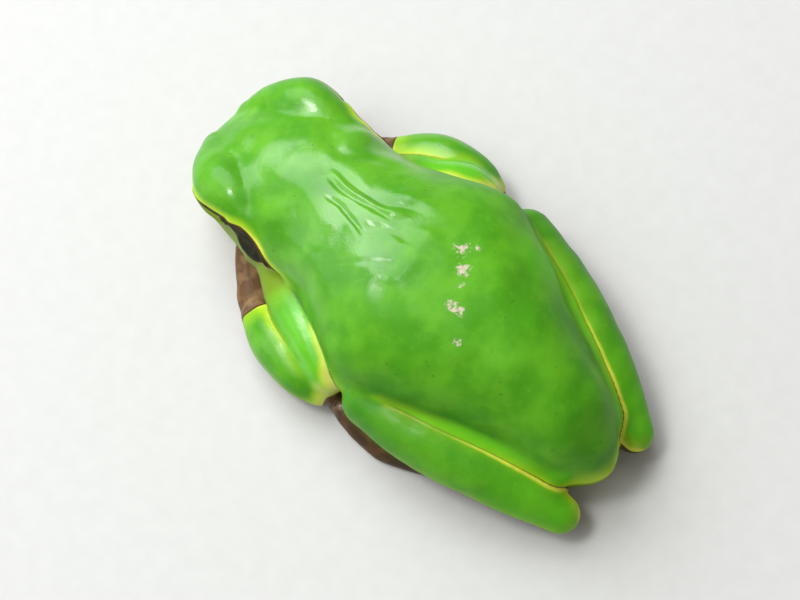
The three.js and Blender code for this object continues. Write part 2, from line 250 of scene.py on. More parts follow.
def barLoft(knots, steps=34, around=26, capRings=7):
    centre, tangent, across, up = spineOf(knots, steps)
    turn = np.linspace(0, math.pi / 2, capRings + 1)[1:-1]
    rows = [(0, -math.cos(a), math.sin(a)) for a in turn]
    rows += [(i, 0, 1) for i in range(steps)]
    rows += [(steps - 1, math.cos(a), math.sin(a)) for a in turn[::-1]]
    i, shift, scale = np.array([r[0] for r in rows]), *np.array([r[1:] for r in rows]).T
    half, thick = centre[i, 3], centre[i, 4]
    angle = np.linspace(0, 2 * math.pi, around, endpoint=False)
    middle = centre[i, :3] + tangent[i] * (shift * np.minimum(half, thick))[:, None]
    return gridFaces(
        middle[:, None]
        + across[i][:, None] * (np.cos(angle)[None] * (half * scale)[:, None])[..., None]
        + up[i][:, None] * (np.sin(angle)[None] * (thick * scale)[:, None])[..., None])


# Fingers and toes: one node tree sweeps every digit along its own path and sets a pad at its tip
digits = {
    "finger": {"lengths": [3.0, 3.6, 4.4, 3.8], "pad": 0.68, "root": (25.6, 5.3), "gap": 0.5,
               "heading": -1.15, "spread": 0.45, "curl": -0.2, "wrist": (24.3, 7.0, 0.75), "follows": "arm"},
    "toe": {"lengths": [2.6, 3.5, 4.8, 6.0, 5.0], "pad": 0.62, "root": (11.7, 8.4), "gap": 0.42,
            "heading": 0.03, "spread": 0.18, "curl": -0.3, "wrist": (8.8, 7.5, 0.65), "follows": "foot"},
    # share of the length, height above the ground, share of the girth
    "profile": [(0, 0.5, 1.05), (0.25, 0.46, 0.9), (0.5, 0.4, 0.98), (0.75, 0.37, 0.85), (0.9, 0.35, 0.8),
                (1, 0.33, 0.8)],
    "girth": 0.4, "padBeyond": 0.35, "wristGap": 0.35, "padFlat": 0.5, "steps": 20, "around": 14,
    "padSegments": 16, "padRings": 10,
}


def digitKnots(kind, i, side):  # forward, side, height, half width, half thickness
    d, s, girth = digits[kind], side["sign"], digits["girth"]
    out = side[d["follows"]]
    middle = (len(d["lengths"]) - 1) / 2
    turn = s * (d["heading"] + d["spread"] * (i - middle) / middle)
    start = d["gap"] * (i - middle)
    root = (d["root"][0] - start * math.sin(d["heading"]),
            s * (d["root"][1] + out + start * math.cos(d["heading"])))
    length = d["lengths"][i] - digits["padBeyond"] * d["pad"]
    ahead, across, height = d["wrist"]
    rows = [(ahead, s * (across + out) + start * s * digits["wristGap"], height, girth, girth)]
    for share, height, thin in digits["profile"]:
        heading = turn + s * d["curl"] * share
        rows.append((root[0] + length * share * math.cos(heading),
                     root[1] + length * share * math.sin(heading), height, girth * thin, girth * thin))
    rows = np.array(rows)
    rows[:, 1] += middleAt(rows[:, 0])
    return rows


def eachDigit():  # side, kind, number from the inner side, knots
    for sideName, side in sides.items():
        for kind in ("finger", "toe"):
            for i in range(len(digits[kind]["lengths"])):
                yield sideName, kind, i, digitKnots(kind, i, side)


def meshFrom(name, points, faces, edges=()):
    mesh = bpy.data.meshes.new(name)
    mesh.from_pydata(np.asarray(points).tolist(), list(edges), faces)
    mesh.update()
    return mesh


def putIn(name, mesh):
    piece = bpy.data.objects.new(name, mesh)
    bpy.context.scene.collection.objects.link(piece)
    return piece


def floatAttribute(mesh, name, values):
    layer = mesh.attributes.get(name) or mesh.attributes.new(name, "FLOAT", "POINT")
    layer.data.foreach_set("value", np.ascontiguousarray(values, np.float32))


class Nodes:  # short ways to add and join the nodes of one tree
    def __init__(self, tree):
        self.tree = tree

    def give(self, socket, value):  # a node, a socket, a list of them or a plain value
        if isinstance(value, list):
            for each in value:
                self.give(socket, each)
        elif isinstance(value, bpy.types.Node):
            self.give(socket, next(out for out in value.outputs if out.enabled))
        elif isinstance(value, bpy.types.NodeSocket):
            self.tree.links.new(value, socket)
        else:
            socket.default_value = (*value, 1) if socket.type == "RGBA" else value

    def fill(self, node, inputs):  # an underscore stands for the space in a socket's name
        for key, value in inputs.items():
            self.give(node.inputs[key.replace("_", " ")], value)
        return node

    def new(self, kind, settings=(), **inputs):
        node = self.tree.nodes.new(kind)
        for key, value in dict(settings).items():
            setattr(node, key, value)
        return self.fill(node, inputs)

    def math(self, operation, a, b=0.0):
        node = self.new("ShaderNodeMath", {"operation": operation})
        self.give(node.inputs[0], a)
        self.give(node.inputs[1], b)
        return node.outputs[0]

    def times(self, a, b):
        return self.math("MULTIPLY", a, b)

    def plus(self, a, b):
        return self.math("ADD", a, b)

    def minus(self, a, b):
        return self.math("SUBTRACT", a, b)


class Grower(Nodes):  # a geometry node tree with named inputs, ending in one painted mesh
    def __init__(self, name, inputs):
        super().__init__(bpy.data.node_groups.new(name, "GeometryNodeTree"))
        for label, kind in {"Geometry": "Geometry", **inputs, "Material": "Material"}.items():
            self.tree.interface.new_socket(label, in_out="INPUT", socket_type="NodeSocket" + kind)
        self.tree.interface.new_socket("Geometry", in_out="OUTPUT", socket_type="NodeSocketGeometry")
        self.given = self.new("NodeGroupInput").outputs

    def stored(self, name):
        return self.new("GeometryNodeInputNamedAttribute", {"data_type": "FLOAT"}, Name=name)

    def ball(self, segments, rings):
        return self.new("GeometryNodeMeshUVSphere", Radius=1, Segments=segments, Rings=rings)

    def above(self, value, least):
        return self.new("FunctionNodeCompare", {"operation": "GREATER_THAN"}, A=value, B=least)

    def finish(self, geometry):
        realized = self.new("GeometryNodeRealizeInstances", Geometry=geometry)
        painted = self.new("GeometryNodeSetMaterial", Geometry=realized, Material=self.given["Material"])
        self.new("NodeGroupOutput", Geometry=painted)
        return self

    def grow(self, piece, values):  # the mesh that the tree makes of the piece, which is gone afterwards
        modifier = piece.modifiers.new(self.tree.name, "NODES")
        modifier.node_group = self.tree
        for item in self.tree.interface.items_tree:
            if item.item_type == "SOCKET" and item.in_out == "INPUT" and item.name in values:
                modifier[item.identifier] = values[item.name]
        mesh = bpy.data.meshes.new_from_object(piece.evaluated_get(bpy.context.evaluated_depsgraph_get()))
        piece.modifiers.remove(modifier)
        bpy.data.objects.remove(piece)
        return mesh


def digitTree():
    tree = Grower("digits", {"Steps": "Int", "Around": "Int", "Pad flatness": "Float"})
    given, pad = tree.given, tree.stored("pad")
    line = tree.new("GeometryNodeMeshToCurve", Mesh=given["Geometry"])
    line = tree.new("GeometryNodeCurveSplineType", {"spline_type": "CATMULL_ROM"}, Curve=line)
    line = tree.new("GeometryNodeResampleCurve", Curve=line, Count=given["Steps"])
    line = tree.new("GeometryNodeSetCurveRadius", Curve=line, Radius=tree.stored("girth"))
    ring = tree.new("GeometryNodeCurvePrimitiveCircle", Radius=1, Resolution=given["Around"])
    stems = tree.new("GeometryNodeCurveToMesh", Curve=line, Profile_Curve=ring, Fill_Caps=True)
    ball = tree.ball(digits["padSegments"], digits["padRings"])
    size = tree.new("ShaderNodeCombineXYZ", X=pad, Y=pad, Z=tree.times(pad, given["Pad flatness"]))
    pads = tree.new("GeometryNodeInstanceOnPoints", Points=given["Geometry"], Selection=tree.above(pad, 0),
                    Instance=ball, Scale=size)
    return tree.finish(tree.new("GeometryNodeJoinGeometry", Geometry=[pads, stems]))


def digitLofts(material):
    points, edges, girths, pads = [], [], [], []
    for _, kind, _, rows in eachDigit():
        edges += [(len(points) + k, len(points) + k + 1) for k in range(len(rows) - 1)]
        points += rows[:, :3].tolist()
        girths += rows[:, 3].tolist()
        pads += [0] * (len(rows) - 1) + [digits[kind]["pad"]]
    mesh = meshFrom("digit paths", points, [], edges)
    floatAttribute(mesh, "girth", girths)
    floatAttribute(mesh, "pad", pads)
    made = digitTree().grow(putIn("digit paths", mesh), {
        "Steps": digits["steps"], "Around": digits["around"], "Pad flatness": digits["padFlat"],
        "Material": material})
    return pointsOf(made), [list(face.vertices) for face in made.polygons]


# One skin over all of it
skinSizes = {
    "voxel": 0.21, "firstSmooth": 4, "sharpen": -0.3, "lastSmooth": 3,
    "neckFrom": 15.5, "neckMiddle": -0.4, "neckHalf": 4.2, "neckAbove": 7, "headFrom": 24.5, "headAbove": 1.6,
    "lidReach": 2.7, "lidOut": 4.0, "snoutTrim": 0.04, "crownTrim": 0.03,
    "seatRounds": 40, "seatWide": 1.0, "seatAbove": 3, "seatClear": (0.35, 0.9),
}


def pointsOf(mesh):
    flat = np.empty(len(mesh.vertices) * 3)
    mesh.vertices.foreach_get("co", flat)
    return flat.reshape(-1, 3)


def normalsOf(mesh):
    flat = np.empty(len(mesh.vertices) * 3)
    mesh.vertex_normals.foreach_get("vector", flat)
    return flat.reshape(-1, 3)


def edgesOf(mesh):
    flat = np.empty(len(mesh.edges) * 2, int)
    mesh.edges.foreach_get("vertices", flat)
    return flat.reshape(-1, 2)


def setPoints(mesh, points):
    mesh.vertices.foreach_set("co", np.ascontiguousarray(points, np.float32).ravel())
    mesh.update()


def joinedLofts(lofts):
    points, faces, start = [], [], 0
    for verts, polys in lofts:
        points.append(verts)
        faces += [[i + start for i in face] for face in polys]
        start += len(verts)
    return np.vstack(points), faces


def remeshed(points, faces, voxel):
    rough = putIn("rough", meshFrom("rough", points, faces))
    remesh = rough.modifiers.new("remesh", "REMESH")
    remesh.mode = "VOXEL"
    remesh.voxel_size = voxel
    fine = bpy.data.meshes.new_from_object(rough.evaluated_get(bpy.context.evaluated_depsgraph_get()))
    bpy.data.objects.remove(rough)
    return fine


def outerShell(mesh):  # only the largest connected piece
    edges = edgesOf(mesh)
    label = np.arange(len(mesh.vertices))
    while True:
        before = label.copy()
        low = np.minimum(label[edges[:, 0]], label[edges[:, 1]])
        np.minimum.at(label, edges[:, 0], low)
        np.minimum.at(label, edges[:, 1], low)
        label = label[label]
        if np.array_equal(before, label):
            break
    stray = np.nonzero(label != np.bincount(label).argmax())[0]
    if len(stray):
        bm = bmesh.new()
        bm.from_mesh(mesh)
        bm.verts.ensure_lookup_table()
        bmesh.ops.delete(bm, geom=[bm.verts[i] for i in stray], context="VERTS")
        bm.to_mesh(mesh)
        bm.free()
    return mesh


def relaxed(points, edges, rounds, push=0.5, weight=1.0):
    weight = np.broadcast_to(np.asarray(weight, float), (len(points),))[:, None] * push
    count = np.bincount(edges.ravel(), minlength=len(points))[:, None]
    for _ in range(rounds):
        total = np.empty_like(points)
        for axis in range(3):
            column = points[:, axis]
            total[:, axis] = (np.bincount(edges[:, 0], column[edges[:, 1]], len(points))
                              + np.bincount(edges[:, 1], column[edges[:, 0]], len(points)))
        points = points + (total / count - points) * weight
    return points


def refined(mesh, chosen):  # splits every face whose corners are all chosen into four
    bm = bmesh.new()
    bm.from_mesh(mesh)
    bm.verts.ensure_lookup_table()
    edges = [e for e in bm.edges if chosen[e.verts[0].index] and chosen[e.verts[1].index]]
    bmesh.ops.subdivide_edges(bm, edges=edges, cuts=1, use_grid_fill=True)
    bm.to_mesh(mesh)
    bm.free()
    return mesh


# Which part of the frog each point of the skin lies on
def nearBar(points, knots, outward):
    centre, tangent, across, up = spineOf(knots, 60)
    reach = knots[:, 3:].max() + 1.2
    low, high = centre[:, :3].min(0) - reach, centre[:, :3].max(0) + reach
    near = np.nonzero(np.all((points > low) & (points < high), axis=1))[0]
    q = points[near]
    away = ((q[:, None] - centre[None, :, :3]) ** 2).sum(2)
    i = away.argmin(1)
    offset = q - centre[i, :3]
    run = (offset * tangent[i]).sum(1)
    over = np.where((i == 0) | (i == len(centre) - 1), run, 0)
    u, v = (offset * across[i]).sum(1), (offset * up[i]).sum(1)
    half, thick = centre[i, 3], centre[i, 4]
    size = np.sqrt(u**2 + v**2 + over**2)
    rho = np.sqrt((u / half) ** 2 + (v / thick) ** 2 + (over / np.minimum(half, thick)) ** 2)
    step = np.linalg.norm(np.diff(centre[:, :3], axis=0), axis=1).mean()
    turned = np.sign((across[:, 1] * outward).sum())
    return {
        "near": near, "gap": size * (1 - 1 / np.maximum(rho, 1e-6)),
        "share": (i + run / step) / (len(centre) - 1), "length": step * (len(centre) - 1),
        "angle": np.degrees(np.arctan2(u * turned, v)), "radius": np.sqrt(u**2 + v**2),
    }


def gapOver(count, part, far):  # the gap to a bar at every point, far away where the bar is out of reach
    gap = np.full(count, far)
    gap[part["near"]] = part["gap"]
    return gap


def bodyGap(points):
    half, crown, wide, under, square, end = bodySection(points[:, 0])
    across, rise = points[:, 1] - middleAt(points[:, 0]), points[:, 2] - wide
    reach = np.where(rise > 0, crown - wide, wide - under)
    end = np.maximum(end, 0.05)
    g = ((np.abs(across) / (half * end)) ** square + (np.abs(rise) / (reach * end)) ** square) ** (1 / square)
    return np.hypot(across, rise) * (1 - 1 / np.maximum(g, 1e-6))


def seated(p, edges):  # the thigh runs softly into the trunk
    for side in sides.values():
        thigh, shank = (gapOver(len(p), nearBar(p, limbKnots(name, side), side["sign"]), 9.0)
                        for name in ("thigh", "shank"))
        here = (p[:, 2] > skinSizes["seatAbove"]) * ease(shank, *skinSizes["seatClear"])
        for gap in (thigh, bodyGap(p)):
            here = here * hill(np.maximum(gap, 0), skinSizes["seatWide"])
        p = relaxed(p, edges, skinSizes["seatRounds"], weight=here)
    return p


lofts = [bodyLoft(), digitLofts(bpy.data.materials.new("lining"))]
for side in sides.values():
    lofts += [barLoft(limbKnots(name, side)) for name in limbs]
skinMesh = outerShell(remeshed(*joinedLofts(lofts), skinSizes["voxel"]))
report(f"rough skin of {len(skinMesh.polygons) * 2} triangles")

edges = edgesOf(skinMesh)
p = relaxed(pointsOf(skinMesh), edges, skinSizes["firstSmooth"])
p = seated(relaxed(p, edges, 2, skinSizes["sharpen"]), edges)
setPoints(skinMesh, p)
fineNeck = ((p[:, 0] > skinSizes["neckFrom"]) & (p[:, 2] > skinSizes["neckAbove"])
            & (np.abs(p[:, 1] - skinSizes["neckMiddle"]) < skinSizes["neckHalf"]))
fineHead = (p[:, 0] > skinSizes["headFrom"]) & (p[:, 2] > skinSizes["headAbove"])
refined(skinMesh, fineNeck | fineHead)
eyes = toFrog([list(c) for c in eyeCentres])
eyeRadius = (eyeBoxes[0][1].z - eyeBoxes[0][0].z) * 1000 / 2
p = pointsOf(skinMesh)
fromEyes = np.min([np.linalg.norm(p - eye, axis=1) for eye in eyes], axis=0)
refined(skinMesh, (fromEyes < skinSizes["lidReach"]) & (np.abs(p[:, 1]) > skinSizes["lidOut"]))
setPoints(skinMesh, relaxed(pointsOf(skinMesh), edgesOf(skinMesh), skinSizes["lastSmooth"]))
report(f"skin of {sum(len(f.vertices) - 2 for f in skinMesh.polygons)} triangles")

bars = {}
for sideName, side in sides.items():
    for name in limbs:
        bars[name, sideName] = (limbKnots(name, side), side["sign"])
for sideName, kind, i, rows in eachDigit():
    rows[-1, 3] = digits[kind]["pad"]
    bars[f"{kind}{i}", sideName] = (rows, sides[sideName]["sign"])


# The crease where a limb lies on its neighbours: positive on the limb, negative beyond, zero between
creaseSizes = {"deep": 0.09, "wide": 0.16, "reach": 0.8, "far": 3.0, "toTrunk": (-0.6, 0.1),
               "fade": (1.5, 2.2)}


def creaseLines(name, share, beside):  # widths of the gold on the limb and beyond it, the painted shade along the crease and the cream
    if name == "shank":
        gold = (0.07 + 0.29 * ease(share, 0.4, 0.95)) * ease(share, 0.05, 0.16)
        # dark is the width of the painted shade along the crease
        dark = (0.045 + 0.025 * ease(share, 0.6, 0.9)) * ease(share, 0.06, 0.2)
        return gold, 0 * share, dark, 0 * share
    toElbow = ease(0.68 - share, 0, 0.2)
    gold = 0.12 * ease(share, 0.02, 0.12) * toElbow
    front = ease(share, 0.2, 0.35) * ease(0.6 - share, 0, 0.15)
    # atBody and the toElbow term set the width of the painted shade along the crease
    atBody = np.maximum(0.05 * front, 0.06 * ease(share, 0.8, 0.95))
    cream = 0.26 * ease(share, 0.42, 0.7) + 0.4 * ease(share, 0.72, 1)
    return 0 * share, gold * (1 - beside), atBody * beside + 0.05 * toElbow * (1 - beside), cream * beside


def creaseAt(points):
    crease, widths = np.full(len(points), -1.0), np.zeros((4, len(points)))
    trunk = bodyGap(points)
    for side in sides.values():
        for name, neighbour in (("shank", "thigh"), ("upperArm", "forearm")):
            part, other = (nearBar(points, limbKnots(each, side), side["sign"]) for each in (name, neighbour))
            near = part["near"]
            toOther, toBody = gapOver(len(points), other, creaseSizes["far"])[near], trunk[near]
            here = np.clip(np.minimum(toOther, toBody) - part["gap"], -1, 1)
            here[part["gap"] > creaseSizes["reach"]] = -1
            closer = here > crease[near]
            crease[near[closer]] = here[closer]
            beside = ease(toOther - toBody, *creaseSizes["toTrunk"])  # 1 where it lies against the trunk
            lines = np.array(creaseLines(name, part["share"], beside)) * [[1], [1], [1], [side["cream"]]]
            widths[:, near[closer]] = lines[:, closer]
    return crease, widths * ease(points[:, 2], *creaseSizes["fade"])


# Folds, lids, nostrils, mouth and eardrums, pressed into the skin
def toPath(points, path, flat=False):  # distance from a smooth path, and the share along it
    fine = through(path, np.linspace(0, 1, 8 * len(path)))
    width = 2 if flat else 3
    q, fine = points[:, :width], fine[:, :width]
    low, high = fine.min(0) - 2.5, fine.max(0) + 2.5
    near = np.nonzero(np.all((q > low) & (q < high), axis=1))[0]
    q = q[near]
    best, share = np.full(len(q), 9.0), np.zeros(len(q))
    for k in range(len(fine) - 1):
        start, step = fine[k], fine[k + 1] - fine[k]
        t = np.clip(((q - start) @ step) / (step @ step), 0, 1)
        away = np.linalg.norm(q - start - t[:, None] * step, axis=1)
        closer = away < best
        best[closer] = away[closer]
        share[closer] = (k + t[closer]) / (len(fine) - 1)
    distance, shares = np.full(len(points), 9.0), np.zeros(len(points))
    distance[near], shares[near] = best, share
    return distance, shares


def tapered(share, ends=0.18):
    return ease(share, 0, ends) * ease(1 - share, 0, ends)


# soft ridges (+) and grooves (-) on the neck and back, seen from above: path, height, width
neckFolds = [
    ([(24.9, -1.3), (24.3, -1.02), (22.9, -0.85), (21.5, -0.82), (20.2, -1.08), (19.35, -1.6), (18.6, -1.95),
      (17.4, -2.0)], -0.13, 0.30),
    ([(24.5, -0.85), (23.9, -0.6), (22.6, -0.38), (21.7, -0.5), (20.2, -0.68), (18.9, -1.11), (17.8, -1.4)],
     0.10, 0.17),
    ([(24.5, -0.35), (24.1, -0.25), (23.05, -0.08), (21.5, -0.2), (20.5, -0.4), (19.2, -0.45), (18.2, -0.75)],
     -0.10, 0.18),
    ([(23.4, 0.3), (22.8, 0.2), (21.9, 0.02), (21.0, 0.04), (20.0, 0.1), (19.0, -0.1)], 0.03, 0.28),
    ([(24.2, 0.95), (23.4, 0.83), (22.5, 0.74), (21.6, 0.92), (20.3, 1.2), (19.5, 1.35)], -0.12, 0.16),
    ([(22.9, 1.0), (21.6, 1.2), (20.6, 1.45), (19.9, 1.7), (18.9, 1.95)], 0.035, 0.26),
    ([(20.9, 0.75), (20.0, 0.57), (19.0, 0.2), (17.6, -0.05), (16.6, -0.3)], -0.07, 0.26),
    ([(20.3, 3.75), (19.95, 3.5), (18.8, 2.65), (17.9, 2.05), (17.15, 1.52), (16.5, 1.15)], -0.06, 0.20),
    ([(22.3, -2.2), (21.0, -1.9), (19.6, -2.4), (18.0, -2.9), (16.2, -3.3)], 0.11, 0.60),
    ([(18.9, -0.4), (17.9, -0.8), (16.9, -1.2), (15.8, -1.9)], 0.06, 0.35),
    ([(18.2, 3.4), (17.3, 2.8), (16.4, 2.2), (15.6, 1.4)], 0.06, 0.40),
    ([(13.2, -5.9), (11.0, -5.0), (9.0, -4.3), (6.5, -3.3), (4.5, -2.6), (2.6, -1.7)], -0.07, 0.45),
    ([(13.0, -6.7), (11.0, -5.9), (9.0, -5.1), (6.5, -4.1), (4.5, -3.3), (2.4, -2.3)], 0.06, 0.40),
    ([(23.5, 8.7), (24.1, 8.3), (24.4, 7.7), (24.2, 7.1), (23.7, 6.7)], 0.12, 0.16),
    ([(16.1, 8.6), (15.8, 8.75), (15.5, 8.85)], 0.12, 0.28),
]
neckTaper, sideTaper = 0.32, 0.12
seat = {  # the soft valley where the thigh lies against the trunk
    "path": [(15.3, 7.8, 5.4), (13.6, 7.2, 5.9), (11.8, 6.5, 6.0), (9.0, 5.2, 6.1), (6.2, 3.9, 6.0),
             (4.0, 2.7, 5.6)],
    # shade is how wide the painted shade runs along the valley
    "height": -0.12, "width": 0.95, "shade": 0.65,
}
# ridges and grooves given for the left side and mirrored
sideFolds = [
    ([(28.3, 5.35, 6.1), (27.3, 5.4, 6.45), (26.4, 5.45, 6.4), (25.4, 5.45, 5.9), (24.6, 5.4, 5.2),
      (23.4, 5.6, 4.6)], 0.16, 0.34),
    ([(28.2, 5.6, 5.3), (27.6, 5.6, 5.5), (26.8, 5.6, 5.75), (25.9, 5.6, 5.5), (25.2, 5.5, 4.8),
      (24.6, 5.5, 4.2)], -0.12, 0.28),
    ([(31.6, 2.3, 6.2), (30.2, 1.7, 7.3), (28.6, 1.75, 7.9), (27.3, 2.5, 8.1), (26.8, 3.6, 7.8)],
     -0.02, 0.75),
    ([(26.9, 3.2, 8.0), (25.9, 2.4, 8.6), (25.0, 2.1, 8.9), (23.9, 2.7, 8.9), (22.5, 3.4, 8.8),
      (21.0, 3.3, 9.3)], -0.09, 0.50),
    ([(31.5, 3.3, 5.3), (32.3, 2.5, 5.0), (33.1, 1.7, 4.4)], 0.10, 0.42),
    ([(31.9, 3.9, 3.7), (32.6, 3.1, 3.6), (33.3, 2.2, 3.4)], -0.14, 0.50),
    ([(26.6, 5.6, 3.3), (25.4, 5.6, 3.0), (24.4, 5.6, 2.8)], 0.12, 0.50),
    (seat["path"], seat["height"], seat["width"]),
]
bumps = [  # forward, side, height up, swelling, width, mirrored
    (25.2, 3.7, 8.0, 0.12, 1.0, False),
    (25.2, -4.3, 7.7, 0.34, 1.1, False),
    (21.8, 1.9, 9.4, 0.07, 0.45, False),
    (19.1, 2.5, 9.8, 0.07, 0.5, False),
    (17.7, 0.0, 10.5, -0.06, 0.4, False),
    (26.5, 2.6, 8.4, -0.06, 0.8, True),
    (24.0, 4.0, 7.6, -0.10, 0.9, True),
    (29.9, 0.0, 7.4, -0.05, 1.3, False),
    (27.0, 0.0, 8.7, 0.10, 1.4, False),
    (0.4, 0.9, 5.6, -0.12, 0.6, False),
    (0.1, 0.9, 4.0, 0.18, 0.55, False),
]
face = {
    "mouthFrom": 25.4, "mouthLow": 1.95, "mouthRise": 0.05, "mouthDeep": 0.24, "mouthWide": 0.13,
    "lip": 0.1, "lipOver": 0.34, "lipWide": 0.24,
    "nostril": (33.15, 1.3, 4.1), "nostrilDeep": 0.34, "nostrilWide": 0.17, "nostrilTall": 1.25,
    "nostrilRim": 0.03, "rimAt": 2.1, "rimWide": 0.14,
    "eardrum": (26.35, 5.2, 5.05), "drumRadius": 0.72, "drumDeep": 0.1, "drumRing": 0.1, "drumRingWide": 0.13,
}
lids = {"slitDrop": 0.08, "slitHalf": 0.25, "slitLong": 1.45, "slitFrom": 0.15, "curve": 0.35, "bow": 0.15,
        "slope": 0.12, "wall": 0.28, "lip": 0.08, "lipWide": 0.2, "lipSoft": 0.16, "tuck": 0.16}
swell = {"waves": 40, "shortest": 1.1, "longest": 4.0, "height": 0.05, "seed": 7,
         "shoulder": (18.6, 1.0), "shoulderReach": 3.2, "shoulderExtra": 1.3}


def unevenness(points):  # the slight rise and fall of loose skin
    chance = np.random.default_rng(swell["seed"])
    total = np.zeros(len(points))
    for _ in range(swell["waves"]):
        length = chance.uniform(swell["shortest"], swell["longest"])
        direction = chance.normal(size=3)
        direction *= 2 * math.pi / length / np.linalg.norm(direction)
        total += np.sin(points @ direction + chance.uniform(0, 2 * math.pi)) * length
    return total / (swell["longest"] * math.sqrt(swell["waves"] / 2))


def bothSides(path):  # a path given for the left, and its mirror, bent with the rump
    for side in sides.values():
        rows = np.array(path)
        rows[:, 1] = side["sign"] * rows[:, 1] + middleAt(rows[:, 0])
        yield rows


def foldRise(p, top):  # how far the folds and bumps lift the skin
    rise = 0 * top
    for path, height, width in neckFolds:
        distance, share = toPath(p, path, flat=True)
        rise += height * hill(distance, width) * tapered(share, neckTaper) * top
    for path, height, width in sideFolds:
        for rows in bothSides(path):
            distance, share = toPath(p, rows)
            rise += height * hill(distance, width) * tapered(share, sideTaper)
    for forward, across, up, height, width, mirrored in bumps:
        for sign in ((1, -1) if mirrored else (1,)):
            rise += height * hill(np.linalg.norm(p - (forward, sign * across, up), axis=1), width)
    return rise


def faceRise(p, n):  # the mouth line with a soft lip over it, the nostrils and the eardrums
    mouth = face["mouthLow"] + face["mouthRise"] * (bodyLength - p[:, 0])
    here = ease(p[:, 0], face["mouthFrom"] - 0.3, face["mouthFrom"] + 0.5)
    here = here * (np.abs(n[:, 2]) < 0.9) * (bodyGap(p) < 0.5)
    rise = face["lip"] * hill(p[:, 2] - mouth - face["lipOver"], face["lipWide"]) * here
    rise -= face["mouthDeep"] * hill(p[:, 2] - mouth, face["mouthWide"]) * here
    for sign in (1, -1):
        f, s, z = face["nostril"]
        away = np.linalg.norm((p - (f, sign * s, z)) * (1, 1, face["nostrilTall"]), axis=1)
        rise -= face["nostrilDeep"] * hill(away, face["nostrilWide"])
        rise += face["nostrilRim"] * hill(away - face["rimAt"] * face["nostrilWide"], face["rimWide"])
        f, s, z = face["eardrum"]
        away = np.hypot(p[:, 0] - f, p[:, 2] - z) + 9 * (p[:, 1] * sign < 3)
        rise -= face["drumDeep"] * ease(face["drumRadius"] - away, -0.1, 0.1)
        rise += face["drumRing"] * hill(away - face["drumRadius"], face["drumRingWide"])
    return rise


def pressedSkin(mesh):
    p, n = pointsOf(mesh), normalsOf(mesh)
    fromShoulder = np.hypot(p[:, 0] - swell["shoulder"][0], p[:, 1] - swell["shoulder"][1])
    loose = 1 + swell["shoulderExtra"] * hill(fromShoulder, swell["shoulderReach"])
    move = swell["height"] * unevenness(p) * loose * ease(p[:, 2], 1.5, 4)
    move += foldRise(p, ease(n[:, 2], 0.1, 0.5)) + faceRise(p, n)
    crease, (_, _, dark, _) = creaseAt(p)
    move -= creaseSizes["deep"] * hill(crease, creaseSizes["wide"]) * ease(dark, 0, 0.05)
    return openedLids(p + n * move[:, None])


def slitDistance(points, eye):  # signed: negative inside the slit between the lids
    q = (points - eye) * (1, np.sign(eye[1]), 1)
    run = (q[:, 0] - lids["slitFrom"]) / lids["slitLong"]
    middle = -lids["slitDrop"] + lids["curve"] * (0.5 * run**2 - lids["bow"]) - lids["slope"] * run
    half = lids["slitHalf"] * np.sqrt(np.clip(1 - run**2, 0, 1))
    beyond = np.maximum(np.abs(run) - 0.95, 0) * lids["slitLong"]
    away = np.abs(q[:, 2] - middle) - half
    away = np.where(beyond > 0, np.hypot(np.maximum(away, 0), beyond), away)
    return np.where(q[:, 1] > 0.3, away, 9.0)


def openedLids(p):
    for eye in eyes:
        away = slitDistance(p, eye)
        spoke = p - eye
        reach = np.linalg.norm(spoke, axis=1)
        inward = spoke / reach[:, None]
        lipped = reach + lids["lip"] * hill(away - lids["lipWide"], lids["lipSoft"]) * (away < 2)
        inner = eyeRadius - lids["tuck"]
        target = inner + (lipped - inner) * np.sqrt(ease(away, -0.02, lids["wall"] * 0.6))
        close = (away < 2) & (reach < skinSizes["lidReach"])
        p = np.where(close[:, None], eye + inward * target[:, None], p)
    return p


p = pressedSkin(skinMesh)
p[:, 0] -= skinSizes["snoutTrim"] * ease(p[:, 0], 31, 34)
p[:, 2] = np.maximum(p[:, 2] - skinSizes["crownTrim"] * ease(p[:, 2], 9, 11), 0)
setPoints(skinMesh, p)
report("folds, lids and mouth pressed in")
# Markings: signed distances in millimetres to the edges of the coloured areas, kept on the points
marks = {
    # forward, height of the lower edge of the green on the body's side
    "bodyEdge": [(0, 3.2), (3, 3.3), (8, 3.7), (14, 3.7), (19, 3.8), (22.0, 4.6), (24.2, 5.4), (25.6, 6.15),
                 (26.8, 6.5), (28, 6.3), (29.6, 6.0), (31.2, 5.5), (32.4, 4.8), (33.4, 3.2), (34, 2.6)],
    # forward, lower edge of the dark mask
    "maskEdge": [(23.8, 5.3), (24.5, 4.9), (25.2, 4.25), (26.2, 3.95), (27.2, 4.5), (28.0, 5.4), (28.6, 6.0),
                 (29.3, 6.4)],
    # where along the frog the mask, the thin line behind it and the dark before the eye run
    "maskSpan": (23.8, 29.3), "lineSpan": (21.4, 24.6), "loreSpan": (29.5, 40),
    # share along the limb, inner and outer edge of its green patch in degrees from straight up
    "patches": {
        "shank": {"edges": [(0, -110, 118), (0.2, -110, 112), (0.5, -110, 104), (0.8, -92, 98),
                            (0.9, -74, 96), (1, -58, 96)],
                  "ends": (-0.2, 1.088)},
        "thigh": {"edges": [(0, -175, 128), (0.4, -175, 120), (0.7, -175, 108), (1, -175, 108)],
                  "ends": (-1, 2)},
        "forearm": {"edges": [(0, -120, 116), (0.3, -115, 112), (0.6, -100, 108), (1, -60, 104)],
                    "ends": (-0.13, 0.98)},
        "upperArm": {"edges": [(0, -60, 112), (0.4, -66, 112), (0.8, -76, 112), (1, -84, 112)],
                     "ends": (0.22, 1.25)},
    },
}
# glow is painted light where positive and painted shade where negative
plainMarks = {"rim": -2, "gold": 0, "dark": 0, "lemon": 0, "mask": -1, "belly": 0, "brown": 0, "rust": 0,
              "umber": 0, "wet": 0.07, "spread": 1, "soft": 1, "pale": 0, "glow": 0}
